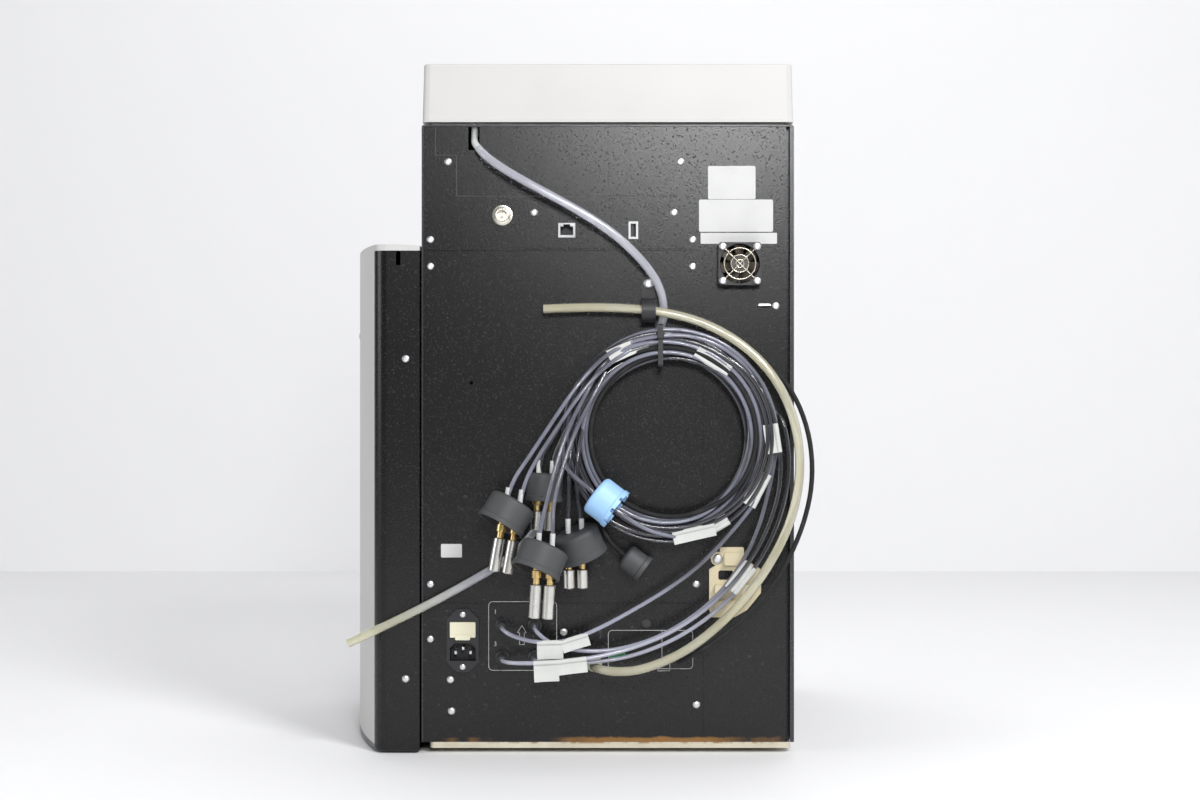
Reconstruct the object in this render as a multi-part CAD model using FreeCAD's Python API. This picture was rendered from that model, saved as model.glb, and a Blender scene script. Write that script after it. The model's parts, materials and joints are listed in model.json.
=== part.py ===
"""Bench-top flash chromatography system, as a set of separate solids.

Millimetres, +Z up. The instrument's front faces -Y and its rear, with the sockets and the
tubing, faces +Y. The origin is the middle of the footprint, on the surface it stands on.
Left and right are those of a person who faces the front, so left is -X.
"""
import FreeCAD, Part
import math
import os

V = FreeCAD.Vector
UP = V(0, 0, 1)
BACKWARD = V(0, 1, 0)
FORWARD = V(0, -1, 0)
RIGHTWARD = V(1, 0, 0)

# Cabinet of folded sheet
CABINET_WIDTH = 350.0
CABINET_DEPTH = 430.0
BODY_HEIGHT = 580.0
SHEET = 1.5
OVERLAY = 1.0
SEAM = 0.4
COVER_CORNER = 2.4
FIT = 0.3
FOOT_HEIGHT = 3.8
FOOT_RADIUS = 16.0
FOOT_INSET = 37.0
PAN_EDGE_HEIGHT = 5.6
PAN_SHEET = 2.0
PAN_INSET_LEFT = 3.7
PAN_INSET_RIGHT = 7.6
HEM_WIDTH = 3.8
HEM_GAP = 3.7
LEDGE_WIDTH = 10.0
FRONT_THICKNESS = 4.0
LOUVRE_COUNT = 9
LOUVRE_PITCH = 11.0
LOUVRE_LENGTH = 70.0
LOUVRE_HEIGHT = 4.0

# Solvent tray on top
TRAY_GAP = 2.7
TRAY_HEIGHT = 55.0
TRAY_DRAFT = 1.4
TRAY_WALL = 9.0
TRAY_FLOOR = 8.0
TRAY_CORNER = 7.0
TRAY_LEDGE = 8.0
TRAY_RIBS = 7
TRAY_RIB_HEIGHT = 2.5

# Column module on the right side
MODULE_GAP = 1.5
MODULE_BACK_WIDTH = 44.0
MODULE_FLARE = 33.1
MODULE_HEIGHT = 476.0
MODULE_CLEARANCE = 1.0
MODULE_PROUD = 5.0
MODULE_FRONT_SETBACK = 60.0
MODULE_FLARE_LENGTH = 202.0
MODULE_WALL = 2.5
MODULE_BACK_CORNER = 13.0
MODULE_FRONT_CORNER = 34.0
MODULE_CAP = 6.0
MODULE_CROWN = 2.0

# Rear panels
SPLIT_OFFSET = 89.9
UPPER_HEIGHT = 116.1
CONNECTION_HEIGHT = 130.4
SLOT_WIDTH = 10.8
SLOT_HEIGHT = 22.0
SLOT_OFFSET = 125.7

# Cooling fan
FAN_SIZE = 40.0
FAN_DEPTH = 15.0
FAN_HOLE_PITCH = 32.0
FAN_BORE = 18.6
FAN_OFFSET = 123.3
FAN_FROM_TOP = 129.2
FAN_HUB = 9.0
FAN_BLADES = 7
FAN_PIN = 1.5
GUARD_WIRE = 1.3
GUARD_RINGS = (14.6, 8.1, 3.6)

# Screws
SCREW_HEAD = 3.5
SCREW_SHANK = 1.5
SCREW_LENGTH = 4.5
SCREW_HOLE = 1.7

# Mains inlet with fuse drawer
INLET_OFFSET = 136.1
INLET_RISE = 95.6
INLET_WIDTH = 30.2
INLET_EAR_PITCH = 49.2
INLET_FLANGE = 3.0
INLET_BODY_WIDTH = 27.4
INLET_BODY_HEIGHT = 40.0
INLET_BODY_DEPTH = 24.0
PLUG_WIDTH = 24.3
PLUG_HEIGHT = 16.6
PLUG_DEPTH = 16.0
PLUG_DROP = 10.8
PIN_WIDTH = 4.0
PIN_THICKNESS = 2.0
PIN_LENGTH = 11.5
PIN_SPREAD = 7.0
DRAWER_WIDTH = 24.0
DRAWER_HEIGHT = 14.4
DRAWER_DEPTH = 20.0
DRAWER_RISE = 10.2
DRAWER_TAB_WIDTH = 14.0

# Tube ports
PORT_PITCH = 30.4
SPOUT_RADIUS = 3.2
PORT_OFFSET = 83.6
PORT_RISE = 95.1
PORT_NUT = 6.5
PORT_REACH = 14.0
PORT_THREAD = 4.3
PORT_STEM = 3.2
WASTE_OFFSET = 13.0
WASTE_RISE = 74.3
WASTE_NUT = 7.4
WASTE_STEM = 4.25

# Sockets
COMMS_WIDTH = 148.5
COMMS_HEIGHT = 38.5
COMMS_OFFSET = 3.5
COMMS_LIFT = 21.2
NETWORK_OFFSET = 35.1
USB_OFFSET = 27.5
SOCKET_LIFT = 2.3
NETWORK_WIDTH = 16.0
NETWORK_HEIGHT = 13.6
NETWORK_DEPTH = 17.0
USB_WIDTH = 5.8
USB_HEIGHT = 13.2
USB_DEPTH = 14.0
SOCKET_FLANGE = 1.6
DETECTOR_OFFSET = 99.0
DETECTOR_FROM_TOP = 83.2
DETECTOR_RADIUS = 9.4
DETECTOR_REACH = 9.0
TERMINAL_OFFSET = 8.6
TERMINAL_RISE = 82.1
TERMINAL_WIDTH = 15.4
TERMINAL_HEIGHT = 6.4
SENSOR_OFFSET = 65.9
SENSOR_RISE = 79.0
SENSOR_RING = 8.2
SENSOR_PLUG = 5.4

# Fraction bay and its arm
BAY_WIDTH = 302.0
BAY_HEIGHT = 302.0
BAY_DEPTH = 300.0
BAY_FLOOR_Z = 40.0
BAY_CORNER = 12.0
RAIL_WIDTH = 14.0
RAIL_HEIGHT = 9.0
RAIL_FROM_BACK = 34.0
CARRIAGE_WIDTH = 44.0
CARRIAGE_WALL = 6.0
CARRIAGE_LIP = 3.0
BOOM_LENGTH = 236.0
BOOM_WIDTH = 12.0
BOOM_HEIGHT = 18.0
HEAD_LENGTH = 30.0
HEAD_WALL = 5.0
NOZZLE_LENGTH = 34.0
ARM_TRAVEL = 120.0
HEAD_TRAVEL = 165.0

# Touch screen
BEZEL_WIDTH = 284.0
BEZEL_HEIGHT = 206.0
BEZEL_PROUD = 8.0
BEZEL_FROM_TOP = 112.0
SCREEN_WIDTH = 212.0
SCREEN_HEIGHT = 159.0
GLASS = 2.5
BEZEL_NECK = 14.0

# Power switch
SWITCH_WIDTH = 21.0
SWITCH_HEIGHT = 14.0
SWITCH_RIM = 2.2
SWITCH_DEPTH = 15.0
SWITCH_WALL = 1.6
SWITCH_FROM_RIGHT = 62.0
SWITCH_LIFT = 15.4
ROCKER_TILT = 8.0
TRUNNION = 1.2
RUNNING_FIT = 0.05

# Column rail on the module's front
RAIL_BAR_WIDTH = 24.0
RAIL_BAR_DEPTH = 14.0
RAIL_BAR_GROOVE = 7.0
RAIL_BAR_LENGTH = 400.0
RAIL_BAR_LIFT = 30.0
RAIL_BAR_NECK = 14.0
HOLDER_WIDTH = 40.0
HOLDER_HEIGHT = 36.0
HOLDER_REACH = 34.0
HOLDER_CUP = 13.0
LOWER_HOLDER_Z = 90.0
UPPER_HOLDER_Z = 290.0
KNOB_RADIUS = 9.0
KNOB_LENGTH = 13.0
KNOB_SHAFT = 3.0

# Injection valve in the module's flank
VALVE_Y = -60.0
VALVE_Z = 395.0
VALVE_DISH = 30.0
VALVE_DISH_DEPTH = 15.0
VALVE_BODY = 18.0
VALVE_BODY_LENGTH = 36.0
VALVE_STATOR = 14.0
VALVE_NUT = 3.6
LOOP_TUBE = 0.8
LOOP_HEIGHT = 24.0

# Parts that lie behind the rear panels
SERVICE_MARGIN = 14.0
SUPPLY_WIDTH = 140.0
SUPPLY_HEIGHT = 46.0
SUPPLY_REAR_SPACE = 32.0
VENT_COUNT = 6
VENT_WIDTH = 5.0
VENT_PITCH = 18.0
BOARD_SIZE = (210.0, 150.0, 1.6)
BOARD_OFFSET = 60.0
BOARD_SETBACK = 60.0
BOARD_COMPONENTS = (
    (60, 60, 30, 30, 3),
    (130, 50, 24, 24, 3),
    (120, 110, 46, 14, 9),
    (40, 120, 26, 12, 12),
)
STANDOFF = 6.0
STANDOFF_RADIUS = 3.0
STANDOFF_INSET = 8.0
MOTOR_RADIUS = 28.0
MOTOR_REAR_SPACE = 41.0
MOTOR_BOSS_RADIUS = 12.0
MOTOR_BOSS_LENGTH = 8.0
PUMP_PLATE = 6.0
PUMP_PLATE_WIDTH = 96.0
PUMP_PLATE_HEIGHT = 120.0
PUMP_OFFSET = 78.0
PUMP_SPREAD = 68.0
MOTOR_RISE = 62.0
PUMP_HEAD_RISE = 100.0
PUMP_HEAD_RADIUS = 15.0
PUMP_HEAD_LENGTH = 38.0
PUMP_BRIDGE = 8.0
VALVE_BLOCK_SIZE = (120.0, 26.0, 24.0)
SOLENOID_RADIUS = 9.0
SOLENOID_LENGTH = 34.0
DETECTOR_SIZE = (110.0, 130.0, 60.0)

# Tubing
SOLVENT_TUBE = 2.0
DRAIN_TUBE = 4.0
WASTE_TUBE = 4.25
SENSOR_CABLE = 2.25
COIL_OFFSET = 56.6
COIL_DROP = 175.3
COIL_INNER = 68.0
COIL_OUTER = 104.0
COIL_THICKNESS = 16.0
COIL_STANDOFF = 12.5
CLIP_OFFSET = 38.2
CLIP_DROP = 31.1
CLIP_WIDTH = 13.0
CLIP_STRAP = 1.6
CLIP_BORE = 10.5
TIE_OFFSET = 49.1
BRACKET_GAP = 5.3
BRACKET_DROP = 12.8
BRACKET_PLATE = 4.0
TAB_RADIUS = 6.5
TAB_OFFSET = 13.3
TAB_RISE = 42.0
LARGE_HEAD = 4.6
TIE_WIDTH = 4.6
TIE_STRAP = 1.4

# Bottle caps and what hangs from them
CAP_RADIUS = 23.0
CAP_HEIGHT = 26.0
CAP_WALL = 2.2
CAP_ROUND = 4.0
SMALL_CAP_RADIUS = 17.5
BLUE_CAP_RADIUS = 19.5
BLUE_CAP_HEIGHT = 25.0
BLUE_CAP_TEETH = 9
BOOT_RADIUS = 13.0
BOOT_HEIGHT = 23.0
LEAD_STRAIGHT = 16.0
FITTING_RADIUS = 4.6
FITTING_START = 8.0
FITTING_LENGTH = 24.0
FILTER_RADIUS = 5.5
FILTER_LENGTH = 31.0
SHORT_FILTER_LENGTH = 18.0
PAIR_PITCH = 12.4

# Places worked out from the sizes above
OVERALL_WIDTH = CABINET_WIDTH + MODULE_GAP + MODULE_BACK_WIDTH + MODULE_FLARE
REAR_REACH = 2 * (CLIP_BORE + CLIP_STRAP)
X_LEFT = -OVERALL_WIDTH / 2
X_RIGHT = X_LEFT + CABINET_WIDTH
X_MIDDLE = (X_LEFT + X_RIGHT) / 2
Y_REAR = (CABINET_DEPTH + BEZEL_PROUD - REAR_REACH) / 2
Y_FRONT = Y_REAR - CABINET_DEPTH
Z_BODY = FOOT_HEIGHT + PAN_EDGE_HEIGHT
Z_DECK = Z_BODY + BODY_HEIGHT
Z_TRAY = Z_DECK + TRAY_GAP
Z_TOP = Z_TRAY + TRAY_HEIGHT
REAR_LEFT = X_LEFT + HEM_WIDTH + HEM_GAP
REAR_RIGHT = X_RIGHT - SHEET - SEAM
REAR_TOP = Z_DECK - SHEET - SEAM
SPLIT_X = X_MIDDLE - SPLIT_OFFSET
SPLIT_Z = REAR_TOP - UPPER_HEIGHT
CONNECTION_TOP = Z_BODY + CONNECTION_HEIGHT
MODULE_IN = X_RIGHT + MODULE_GAP
MODULE_OUT = X_LEFT + OVERALL_WIDTH
MODULE_BACK_OUT = MODULE_IN + MODULE_BACK_WIDTH
MODULE_BACK = Y_REAR + MODULE_PROUD
MODULE_FRONT = Y_FRONT + MODULE_FRONT_SETBACK
MODULE_TOP = MODULE_CLEARANCE + MODULE_HEIGHT
FAN_X = X_MIDDLE - FAN_OFFSET
FAN_Z = REAR_TOP - FAN_FROM_TOP
INLET_X = X_MIDDLE + INLET_OFFSET
INLET_Z = Z_BODY + INLET_RISE
PORT_X = X_MIDDLE + PORT_OFFSET
PORT_Z = Z_BODY + PORT_RISE
WASTE_X = X_MIDDLE + WASTE_OFFSET
WASTE_Z = Z_BODY + WASTE_RISE
COMMS_X = X_MIDDLE + COMMS_OFFSET
COMMS_Z = SPLIT_Z + COMMS_LIFT
NETWORK_X = COMMS_X + NETWORK_OFFSET
USB_X = COMMS_X - USB_OFFSET
SOCKET_Z = COMMS_Z - SOCKET_LIFT
DETECTOR_X = X_MIDDLE + DETECTOR_OFFSET
DETECTOR_Z = REAR_TOP - DETECTOR_FROM_TOP
TERMINAL_X = X_MIDDLE - TERMINAL_OFFSET
TERMINAL_Z = Z_BODY + TERMINAL_RISE
SENSOR_X = X_MIDDLE - SENSOR_OFFSET
SENSOR_Z = Z_BODY + SENSOR_RISE
SLOT_X = X_MIDDLE + SLOT_OFFSET
COIL_X = X_MIDDLE - COIL_OFFSET
COIL_Z = SPLIT_Z - COIL_DROP
CLIP_X = X_MIDDLE - CLIP_OFFSET
CLIP_SCREW_Z = SPLIT_Z - CLIP_DROP
TIE_X = X_MIDDLE - TIE_OFFSET
BAY_X = X_MIDDLE
BAY_BACK = Y_FRONT + BAY_DEPTH
SERVICE_FRONT = BAY_BACK + SERVICE_MARGIN
PUMP_X = BAY_X + PUMP_OFFSET
MOTOR_LENGTH = Y_REAR - MOTOR_REAR_SPACE - MOTOR_BOSS_LENGTH + 1 - SERVICE_FRONT - PUMP_PLATE
BAY_TOP = BAY_FLOOR_Z + BAY_HEIGHT
BEZEL_Z = REAR_TOP - BEZEL_FROM_TOP
RAIL_Y = BAY_BACK - RAIL_FROM_BACK
SWITCH_X = X_RIGHT - SWITCH_FROM_RIGHT
SWITCH_Z = Z_BODY + SWITCH_LIFT
RAIL_BAR_X = (MODULE_IN + MODULE_OUT - MODULE_FRONT_CORNER / 2) / 2
KNOB_Y = MODULE_FRONT - (RAIL_BAR_DEPTH + RAIL_BAR_GROOVE) / 2
SPOUT_Y = Y_REAR - 10.0


def point(x, y, z):
    return V(x, y, z)


def block(xs, ys, zs):
    """Box between two limits on each axis."""
    return Part.makeBox(xs[1] - xs[0], ys[1] - ys[0], zs[1] - zs[0], V(xs[0], ys[0], zs[0]))


def rod(start, direction, length, radius):
    return Part.makeCylinder(radius, length, start, direction)


def edges_along(shape, axis):
    """Straight edges of a shape that run along an axis."""
    found = []
    for edge in shape.Edges:
        if isinstance(edge.Curve, Part.Line):
            along = edge.tangentAt(edge.FirstParameter)
            if abs(abs(along.dot(axis)) - 1) < 1e-6:
                found.append(edge)
    return found


def soft_block(xs, ys, zs, radius, axis):
    """Box whose four edges along an axis are rounded."""
    raw = block(xs, ys, zs)
    return raw.makeFillet(radius, edges_along(raw, axis))


def about(middle, size):
    """Limits of a length that is centred on a place."""
    return (middle - size / 2, middle + size / 2)


def fused(shapes):
    first = shapes[0]
    if len(shapes) == 1:
        return first
    return first.multiFuse(shapes[1:]).removeSplitter()


def prism(corners, height):
    """Straight-sided outline of points, extruded by a vector."""
    return Part.Face(Part.makePolygon(corners + corners[:1])).extrude(height)


def rounded_wire(xs, ys, z, radius):
    """Rounded rectangle at one height."""
    raw = block(xs, ys, (z, z + 1.0))
    raw = raw.makeFillet(radius, edges_along(raw, UP))
    for face in raw.Faces:
        if abs(face.CenterOfMass.z - z) < 1e-6:
            return face.OuterWire
    return None


def rounded_wire_upright(xs, zs, y, radius):
    """Rounded rectangle that stands in a plane of constant y."""
    raw = block(xs, (y, y + 1.0), zs)
    raw = raw.makeFillet(radius, edges_along(raw, BACKWARD))
    for face in raw.Faces:
        if abs(face.CenterOfMass.y - y) < 1e-6:
            return face.OuterWire
    return None


def turned(profile, origin, axis):
    """Solid of revolution from (radius, distance along the axis) pairs."""
    side = axis.cross(UP)
    if side.Length < 1e-6:
        side = V(1, 0, 0)
    side.normalize()
    corners = []
    for radius, distance in profile:
        corners.append(origin + side * radius + axis * distance)
    face = Part.Face(Part.makePolygon(corners + corners[:1]))
    return face.revolve(origin, axis, 360)


def screw(place, axis, head=SCREW_HEAD, shank=SCREW_SHANK, length=SCREW_LENGTH):
    """Pan-head screw: place is where the head meets the plate, axis points out of it."""
    height = head * 0.62
    profile = [
        (0, -length),
        (shank, -length),
        (shank, 0),
        (head, 0),
        (head, height * 0.45),
        (head * 0.8, height * 0.85),
        (head * 0.45, height),
        (0, height),
    ]
    return turned(profile, place, axis)


def access_screw_points():
    """Places of the screws in the rear of the cabinet, as (x, z)."""
    near_right = REAR_RIGHT - 6.4
    near_split = SPLIT_X + 6.6
    beside_split = SPLIT_X + 10.3
    return [
        (near_right, SPLIT_Z - 14.9),
        (beside_split, SPLIT_Z - 14.9),
        (near_right, CONNECTION_TOP + 18.0),
        (near_split, CONNECTION_TOP + 18.0),
        (near_right, CONNECTION_TOP - 33.5),
        (near_split, Z_BODY + 35.2),
        (REAR_RIGHT - 26.2, Z_BODY + 29.2),
        (REAR_RIGHT - 25.2, Z_BODY + 58.7),
        (PORT_X - 42.2, CONNECTION_TOP - 26.9),
        (near_right, SPLIT_Z + 10.2),
        (beside_split, SPLIT_Z + 10.2),
        (REAR_RIGHT - 23.1, REAR_TOP - 32.7),
        (SPLIT_X + 21.6, REAR_TOP - 32.7),
        (REAR_LEFT + 9.8, FAN_Z - 39.0),
    ]


def comms_screw_points():
    """Screws in the upper corners of the communications plate."""
    places = []
    for side in (-1, 1):
        places.append((COMMS_X + side * (COMMS_WIDTH / 2 - 8.6), COMMS_Z + COMMS_HEIGHT / 2 - 4.8))
    return places


def fan_screw_points():
    half = FAN_HOLE_PITCH / 2
    return [(FAN_X + i * half, FAN_Z + j * half) for i in (-1, 1) for j in (-1, 1)]


def inlet_screw_points():
    half = INLET_EAR_PITCH / 2
    return [(INLET_X, INLET_Z + half), (INLET_X, INLET_Z - half)]


def module_screw_points():
    middle = MODULE_IN + 12.9
    return [(middle, MODULE_TOP - 107.4), (middle, MODULE_CLEARANCE + 68.6)]


def port_points():
    half = PORT_PITCH / 2
    return [(PORT_X + i * half, PORT_Z + j * half) for j in (1, -1) for i in (1, -1)]


def rear_holes():
    """Every screw hole in the rear of the cabinet, as one cutting tool."""
    places = access_screw_points() + comms_screw_points() + fan_screw_points()
    places = places + inlet_screw_points() + [(CLIP_X, CLIP_SCREW_Z), (tab_point(0).x, tab_point(0).z)]
    drills = []
    for x, z in places:
        drills.append(rod(point(x, Y_REAR - 8, z), BACKWARD, 16, SCREW_HOLE))
    return Part.makeCompound(drills)


def rubber_feet():
    """Four low feet with a chamfered foot edge."""
    feet = []
    for x in (X_LEFT + FOOT_INSET, X_RIGHT - FOOT_INSET):
        for y in (Y_FRONT + FOOT_INSET, Y_REAR - FOOT_INSET):
            profile = [
                (0, 0),
                (FOOT_RADIUS - 1.2, 0),
                (FOOT_RADIUS, 1.2),
                (FOOT_RADIUS, FOOT_HEIGHT),
                (0, FOOT_HEIGHT),
            ]
            feet.append(turned(profile, point(x, y, 0), UP))
    return Part.makeCompound(feet)


def base_pan():
    """Zinc-plated floor pan with four turned-up edges."""
    xs = (X_LEFT + PAN_INSET_LEFT, X_RIGHT - PAN_INSET_RIGHT)
    ys = (Y_FRONT + FRONT_THICKNESS, Y_REAR)
    outside = soft_block(xs, ys, (FOOT_HEIGHT, Z_BODY), 4.0, UP)
    inside = soft_block(
        (xs[0] + PAN_SHEET, xs[1] - PAN_SHEET),
        (ys[0] + PAN_SHEET, ys[1] - PAN_SHEET),
        (FOOT_HEIGHT + PAN_SHEET, Z_BODY + 1),
        2.0,
        UP,
    )
    return outside.cut(inside)


def wrap_cover():
    """Left wall, deck and right wall folded from one sheet, with louvres and a rear hem."""
    ys = (Y_FRONT + FRONT_THICKNESS, Y_REAR)
    outside = block((X_LEFT, X_RIGHT), ys, (Z_BODY, Z_DECK))
    top_edges = [e for e in edges_along(outside, BACKWARD) if e.CenterOfMass.z > Z_DECK - 1]
    outside = outside.makeFillet(COVER_CORNER, top_edges)
    inside = block(
        (X_LEFT + SHEET, X_RIGHT - SHEET),
        (ys[0] - 1, ys[1] + 1),
        (Z_BODY - 1, Z_DECK - SHEET),
    )
    top_edges = [e for e in edges_along(inside, BACKWARD) if e.CenterOfMass.z > Z_DECK - 3]
    inside = inside.makeFillet(COVER_CORNER - SHEET, top_edges)
    shell = outside.cut(inside)
    hem = block((X_LEFT, X_LEFT + HEM_WIDTH), (Y_REAR - SHEET, Y_REAR), (Z_BODY, REAR_TOP))
    flange = block(
        (X_RIGHT - SHEET - LEDGE_WIDTH, X_RIGHT - SHEET / 2),
        (Y_REAR - 2 * SHEET, Y_REAR - SHEET),
        (Z_BODY, REAR_TOP),
    )
    shell = fused([shell, hem, flange])
    cutters = []
    low = Z_BODY + 70
    for row in range(LOUVRE_COUNT):
        z = low + row * LOUVRE_PITCH
        cutters.append(
            soft_block(
                (X_LEFT - 1, X_LEFT + SHEET + 1),
                (BAY_BACK + 30, BAY_BACK + 30 + LOUVRE_LENGTH),
                (z, z + LOUVRE_HEIGHT),
                LOUVRE_HEIGHT * 0.45,
                RIGHTWARD,
            )
        )
    cutters.append(rod(point(SLOT_X, SPOUT_Y, Z_DECK - 5), UP, 10, 5.0))
    for x, z in access_screw_points():
        cutters.append(rod(point(x, Y_REAR - 8, z), BACKWARD, 16, SCREW_HOLE))
    return shell.cut(Part.makeCompound(cutters))


def slot_cutter():
    through = (Y_REAR - 8, Y_REAR + 8)
    return block(about(SLOT_X, SLOT_WIDTH), through, (REAR_TOP - SLOT_HEIGHT, REAR_TOP + 1))


def rear_frame_panel():
    """Inverted L of painted sheet: the upper rear and the strip with the fan."""
    ys = (Y_REAR - SHEET, Y_REAR)
    upper = block((REAR_LEFT, REAR_RIGHT), ys, (SPLIT_Z, REAR_TOP))
    strip = block((REAR_LEFT, SPLIT_X), ys, (Z_BODY, SPLIT_Z))
    back_ys = (Y_REAR - 2 * SHEET, Y_REAR - SHEET)
    ledge_stop = REAR_RIGHT - LEDGE_WIDTH - 1
    side_ledge = block((SPLIT_X - LEDGE_WIDTH, SPLIT_X + LEDGE_WIDTH), back_ys, (Z_BODY, SPLIT_Z))
    top_ledge = block(
        (SPLIT_X - LEDGE_WIDTH, ledge_stop), back_ys, (SPLIT_Z - LEDGE_WIDTH, SPLIT_Z + LEDGE_WIDTH)
    )
    side_return = block((REAR_LEFT, REAR_LEFT + SHEET), (Y_REAR - 14, Y_REAR - SHEET), (Z_BODY, REAR_TOP))
    recess_floor = block(
        (X_LEFT + SHEET + SEAM, REAR_LEFT + SHEET), (Y_REAR - 14, Y_REAR - 14 + SHEET), (Z_BODY, REAR_TOP)
    )
    panel = fused([upper, strip, side_ledge, top_ledge, side_return, recess_floor])
    openings = [
        slot_cutter(),
        rod(point(FAN_X, Y_REAR - 6, FAN_Z), BACKWARD, 12, FAN_BORE - 0.6),
        rod(point(DETECTOR_X, Y_REAR - 6, DETECTOR_Z), BACKWARD, 12, 6.2 + FIT),
        block(
            about(NETWORK_X, NETWORK_WIDTH + 1),
            (Y_REAR - 6, Y_REAR + 6),
            about(SOCKET_Z, NETWORK_HEIGHT + 1),
        ),
        block(about(USB_X, USB_WIDTH + 1), (Y_REAR - 6, Y_REAR + 6), about(SOCKET_Z, USB_HEIGHT + 1)),
        soft_block(
            (REAR_LEFT + 14.1, REAR_LEFT + 25.9),
            (Y_REAR - 6, Y_REAR + 6),
            about(FAN_Z - 38.6, 3.8),
            1.7,
            BACKWARD,
        ),
        rear_holes(),
    ]
    return panel.cut(Part.makeCompound(openings))


def upper_cover_plate():
    """Overlaid plate with one stepped corner, notched for the drain."""
    ys = Y_REAR
    left = SPLIT_X + 25.6
    right = REAR_RIGHT - 11.6
    step_x = REAR_RIGHT - 31.3
    top = REAR_TOP - SEAM
    step_z = REAR_TOP - 26.3
    low = REAR_TOP - 64.7
    corners = [
        point(left, ys, low),
        point(step_x, ys, low),
        point(step_x, ys, step_z),
        point(right, ys, step_z),
        point(right, ys, top),
        point(left, ys, top),
    ]
    plate = prism(corners, V(0, OVERLAY, 0))
    return plate.cut(Part.makeCompound([slot_cutter(), rear_holes()]))


def comms_plate():
    """Overlaid plate that carries the network and USB sockets."""
    plate = soft_block(
        about(COMMS_X, COMMS_WIDTH), (Y_REAR, Y_REAR + OVERLAY), about(COMMS_Z, COMMS_HEIGHT), 0.8, BACKWARD
    )
    windows = [
        block(
            about(NETWORK_X, NETWORK_WIDTH + 0.6),
            (Y_REAR - 1, Y_REAR + 3),
            about(SOCKET_Z, NETWORK_HEIGHT + 0.6),
        ),
        block(about(USB_X, USB_WIDTH + 0.6), (Y_REAR - 1, Y_REAR + 3), about(SOCKET_Z, USB_HEIGHT + 0.6)),
        rear_holes(),
    ]
    return plate.cut(Part.makeCompound(windows))


def rear_access_panel():
    """Large removable panel between the upper rear and the connection panel."""
    panel = soft_block(
        (SPLIT_X + SEAM, REAR_RIGHT),
        (Y_REAR - SHEET, Y_REAR),
        (CONNECTION_TOP + SEAM, SPLIT_Z - SEAM),
        1.0,
        BACKWARD,
    )
    peep_hole = rod(point(REAR_RIGHT - 44.9, Y_REAR - 4, SPLIT_Z - 124.4), BACKWARD, 8, 1.6)
    return panel.cut(Part.makeCompound([rear_holes(), peep_hole]))


def rear_connection_panel():
    """Lower removable panel with the mains inlet, tube ports and signal sockets."""
    panel = soft_block(
        (SPLIT_X + SEAM, REAR_RIGHT), (Y_REAR - SHEET, Y_REAR), (Z_BODY, CONNECTION_TOP), 1.0, BACKWARD
    )
    joggle = block(
        (SPLIT_X + LEDGE_WIDTH + 1, REAR_RIGHT - LEDGE_WIDTH - 1),
        (Y_REAR - 2 * SHEET, Y_REAR - SHEET),
        (CONNECTION_TOP - 6, CONNECTION_TOP + 8),
    )
    panel = fused([panel, joggle])
    through = (Y_REAR - 6, Y_REAR + 6)
    openings = [
        rear_holes(),
        block(
            about(INLET_X, INLET_BODY_WIDTH + 0.6), through, about(INLET_Z, INLET_BODY_HEIGHT + 0.6)
        ),
        block(
            about(TERMINAL_X, TERMINAL_WIDTH + 0.4), through, about(TERMINAL_Z, TERMINAL_HEIGHT + 0.4)
        ),
        rod(point(SENSOR_X, Y_REAR - 6, SENSOR_Z), BACKWARD, 12, SENSOR_RING - 1.5),
        rod(point(WASTE_X, Y_REAR - 6, WASTE_Z), BACKWARD, 12, PORT_THREAD + 1 + FIT),
        rod(point(SPLIT_X + 53.6, Y_REAR - 6, CONNECTION_TOP - 18.8), BACKWARD, 12, 3.0),
    ]
    for x, z in port_points():
        openings.append(rod(point(x, Y_REAR - 6, z), BACKWARD, 12, PORT_THREAD + FIT))
    return panel.cut(Part.makeCompound(openings))


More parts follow.
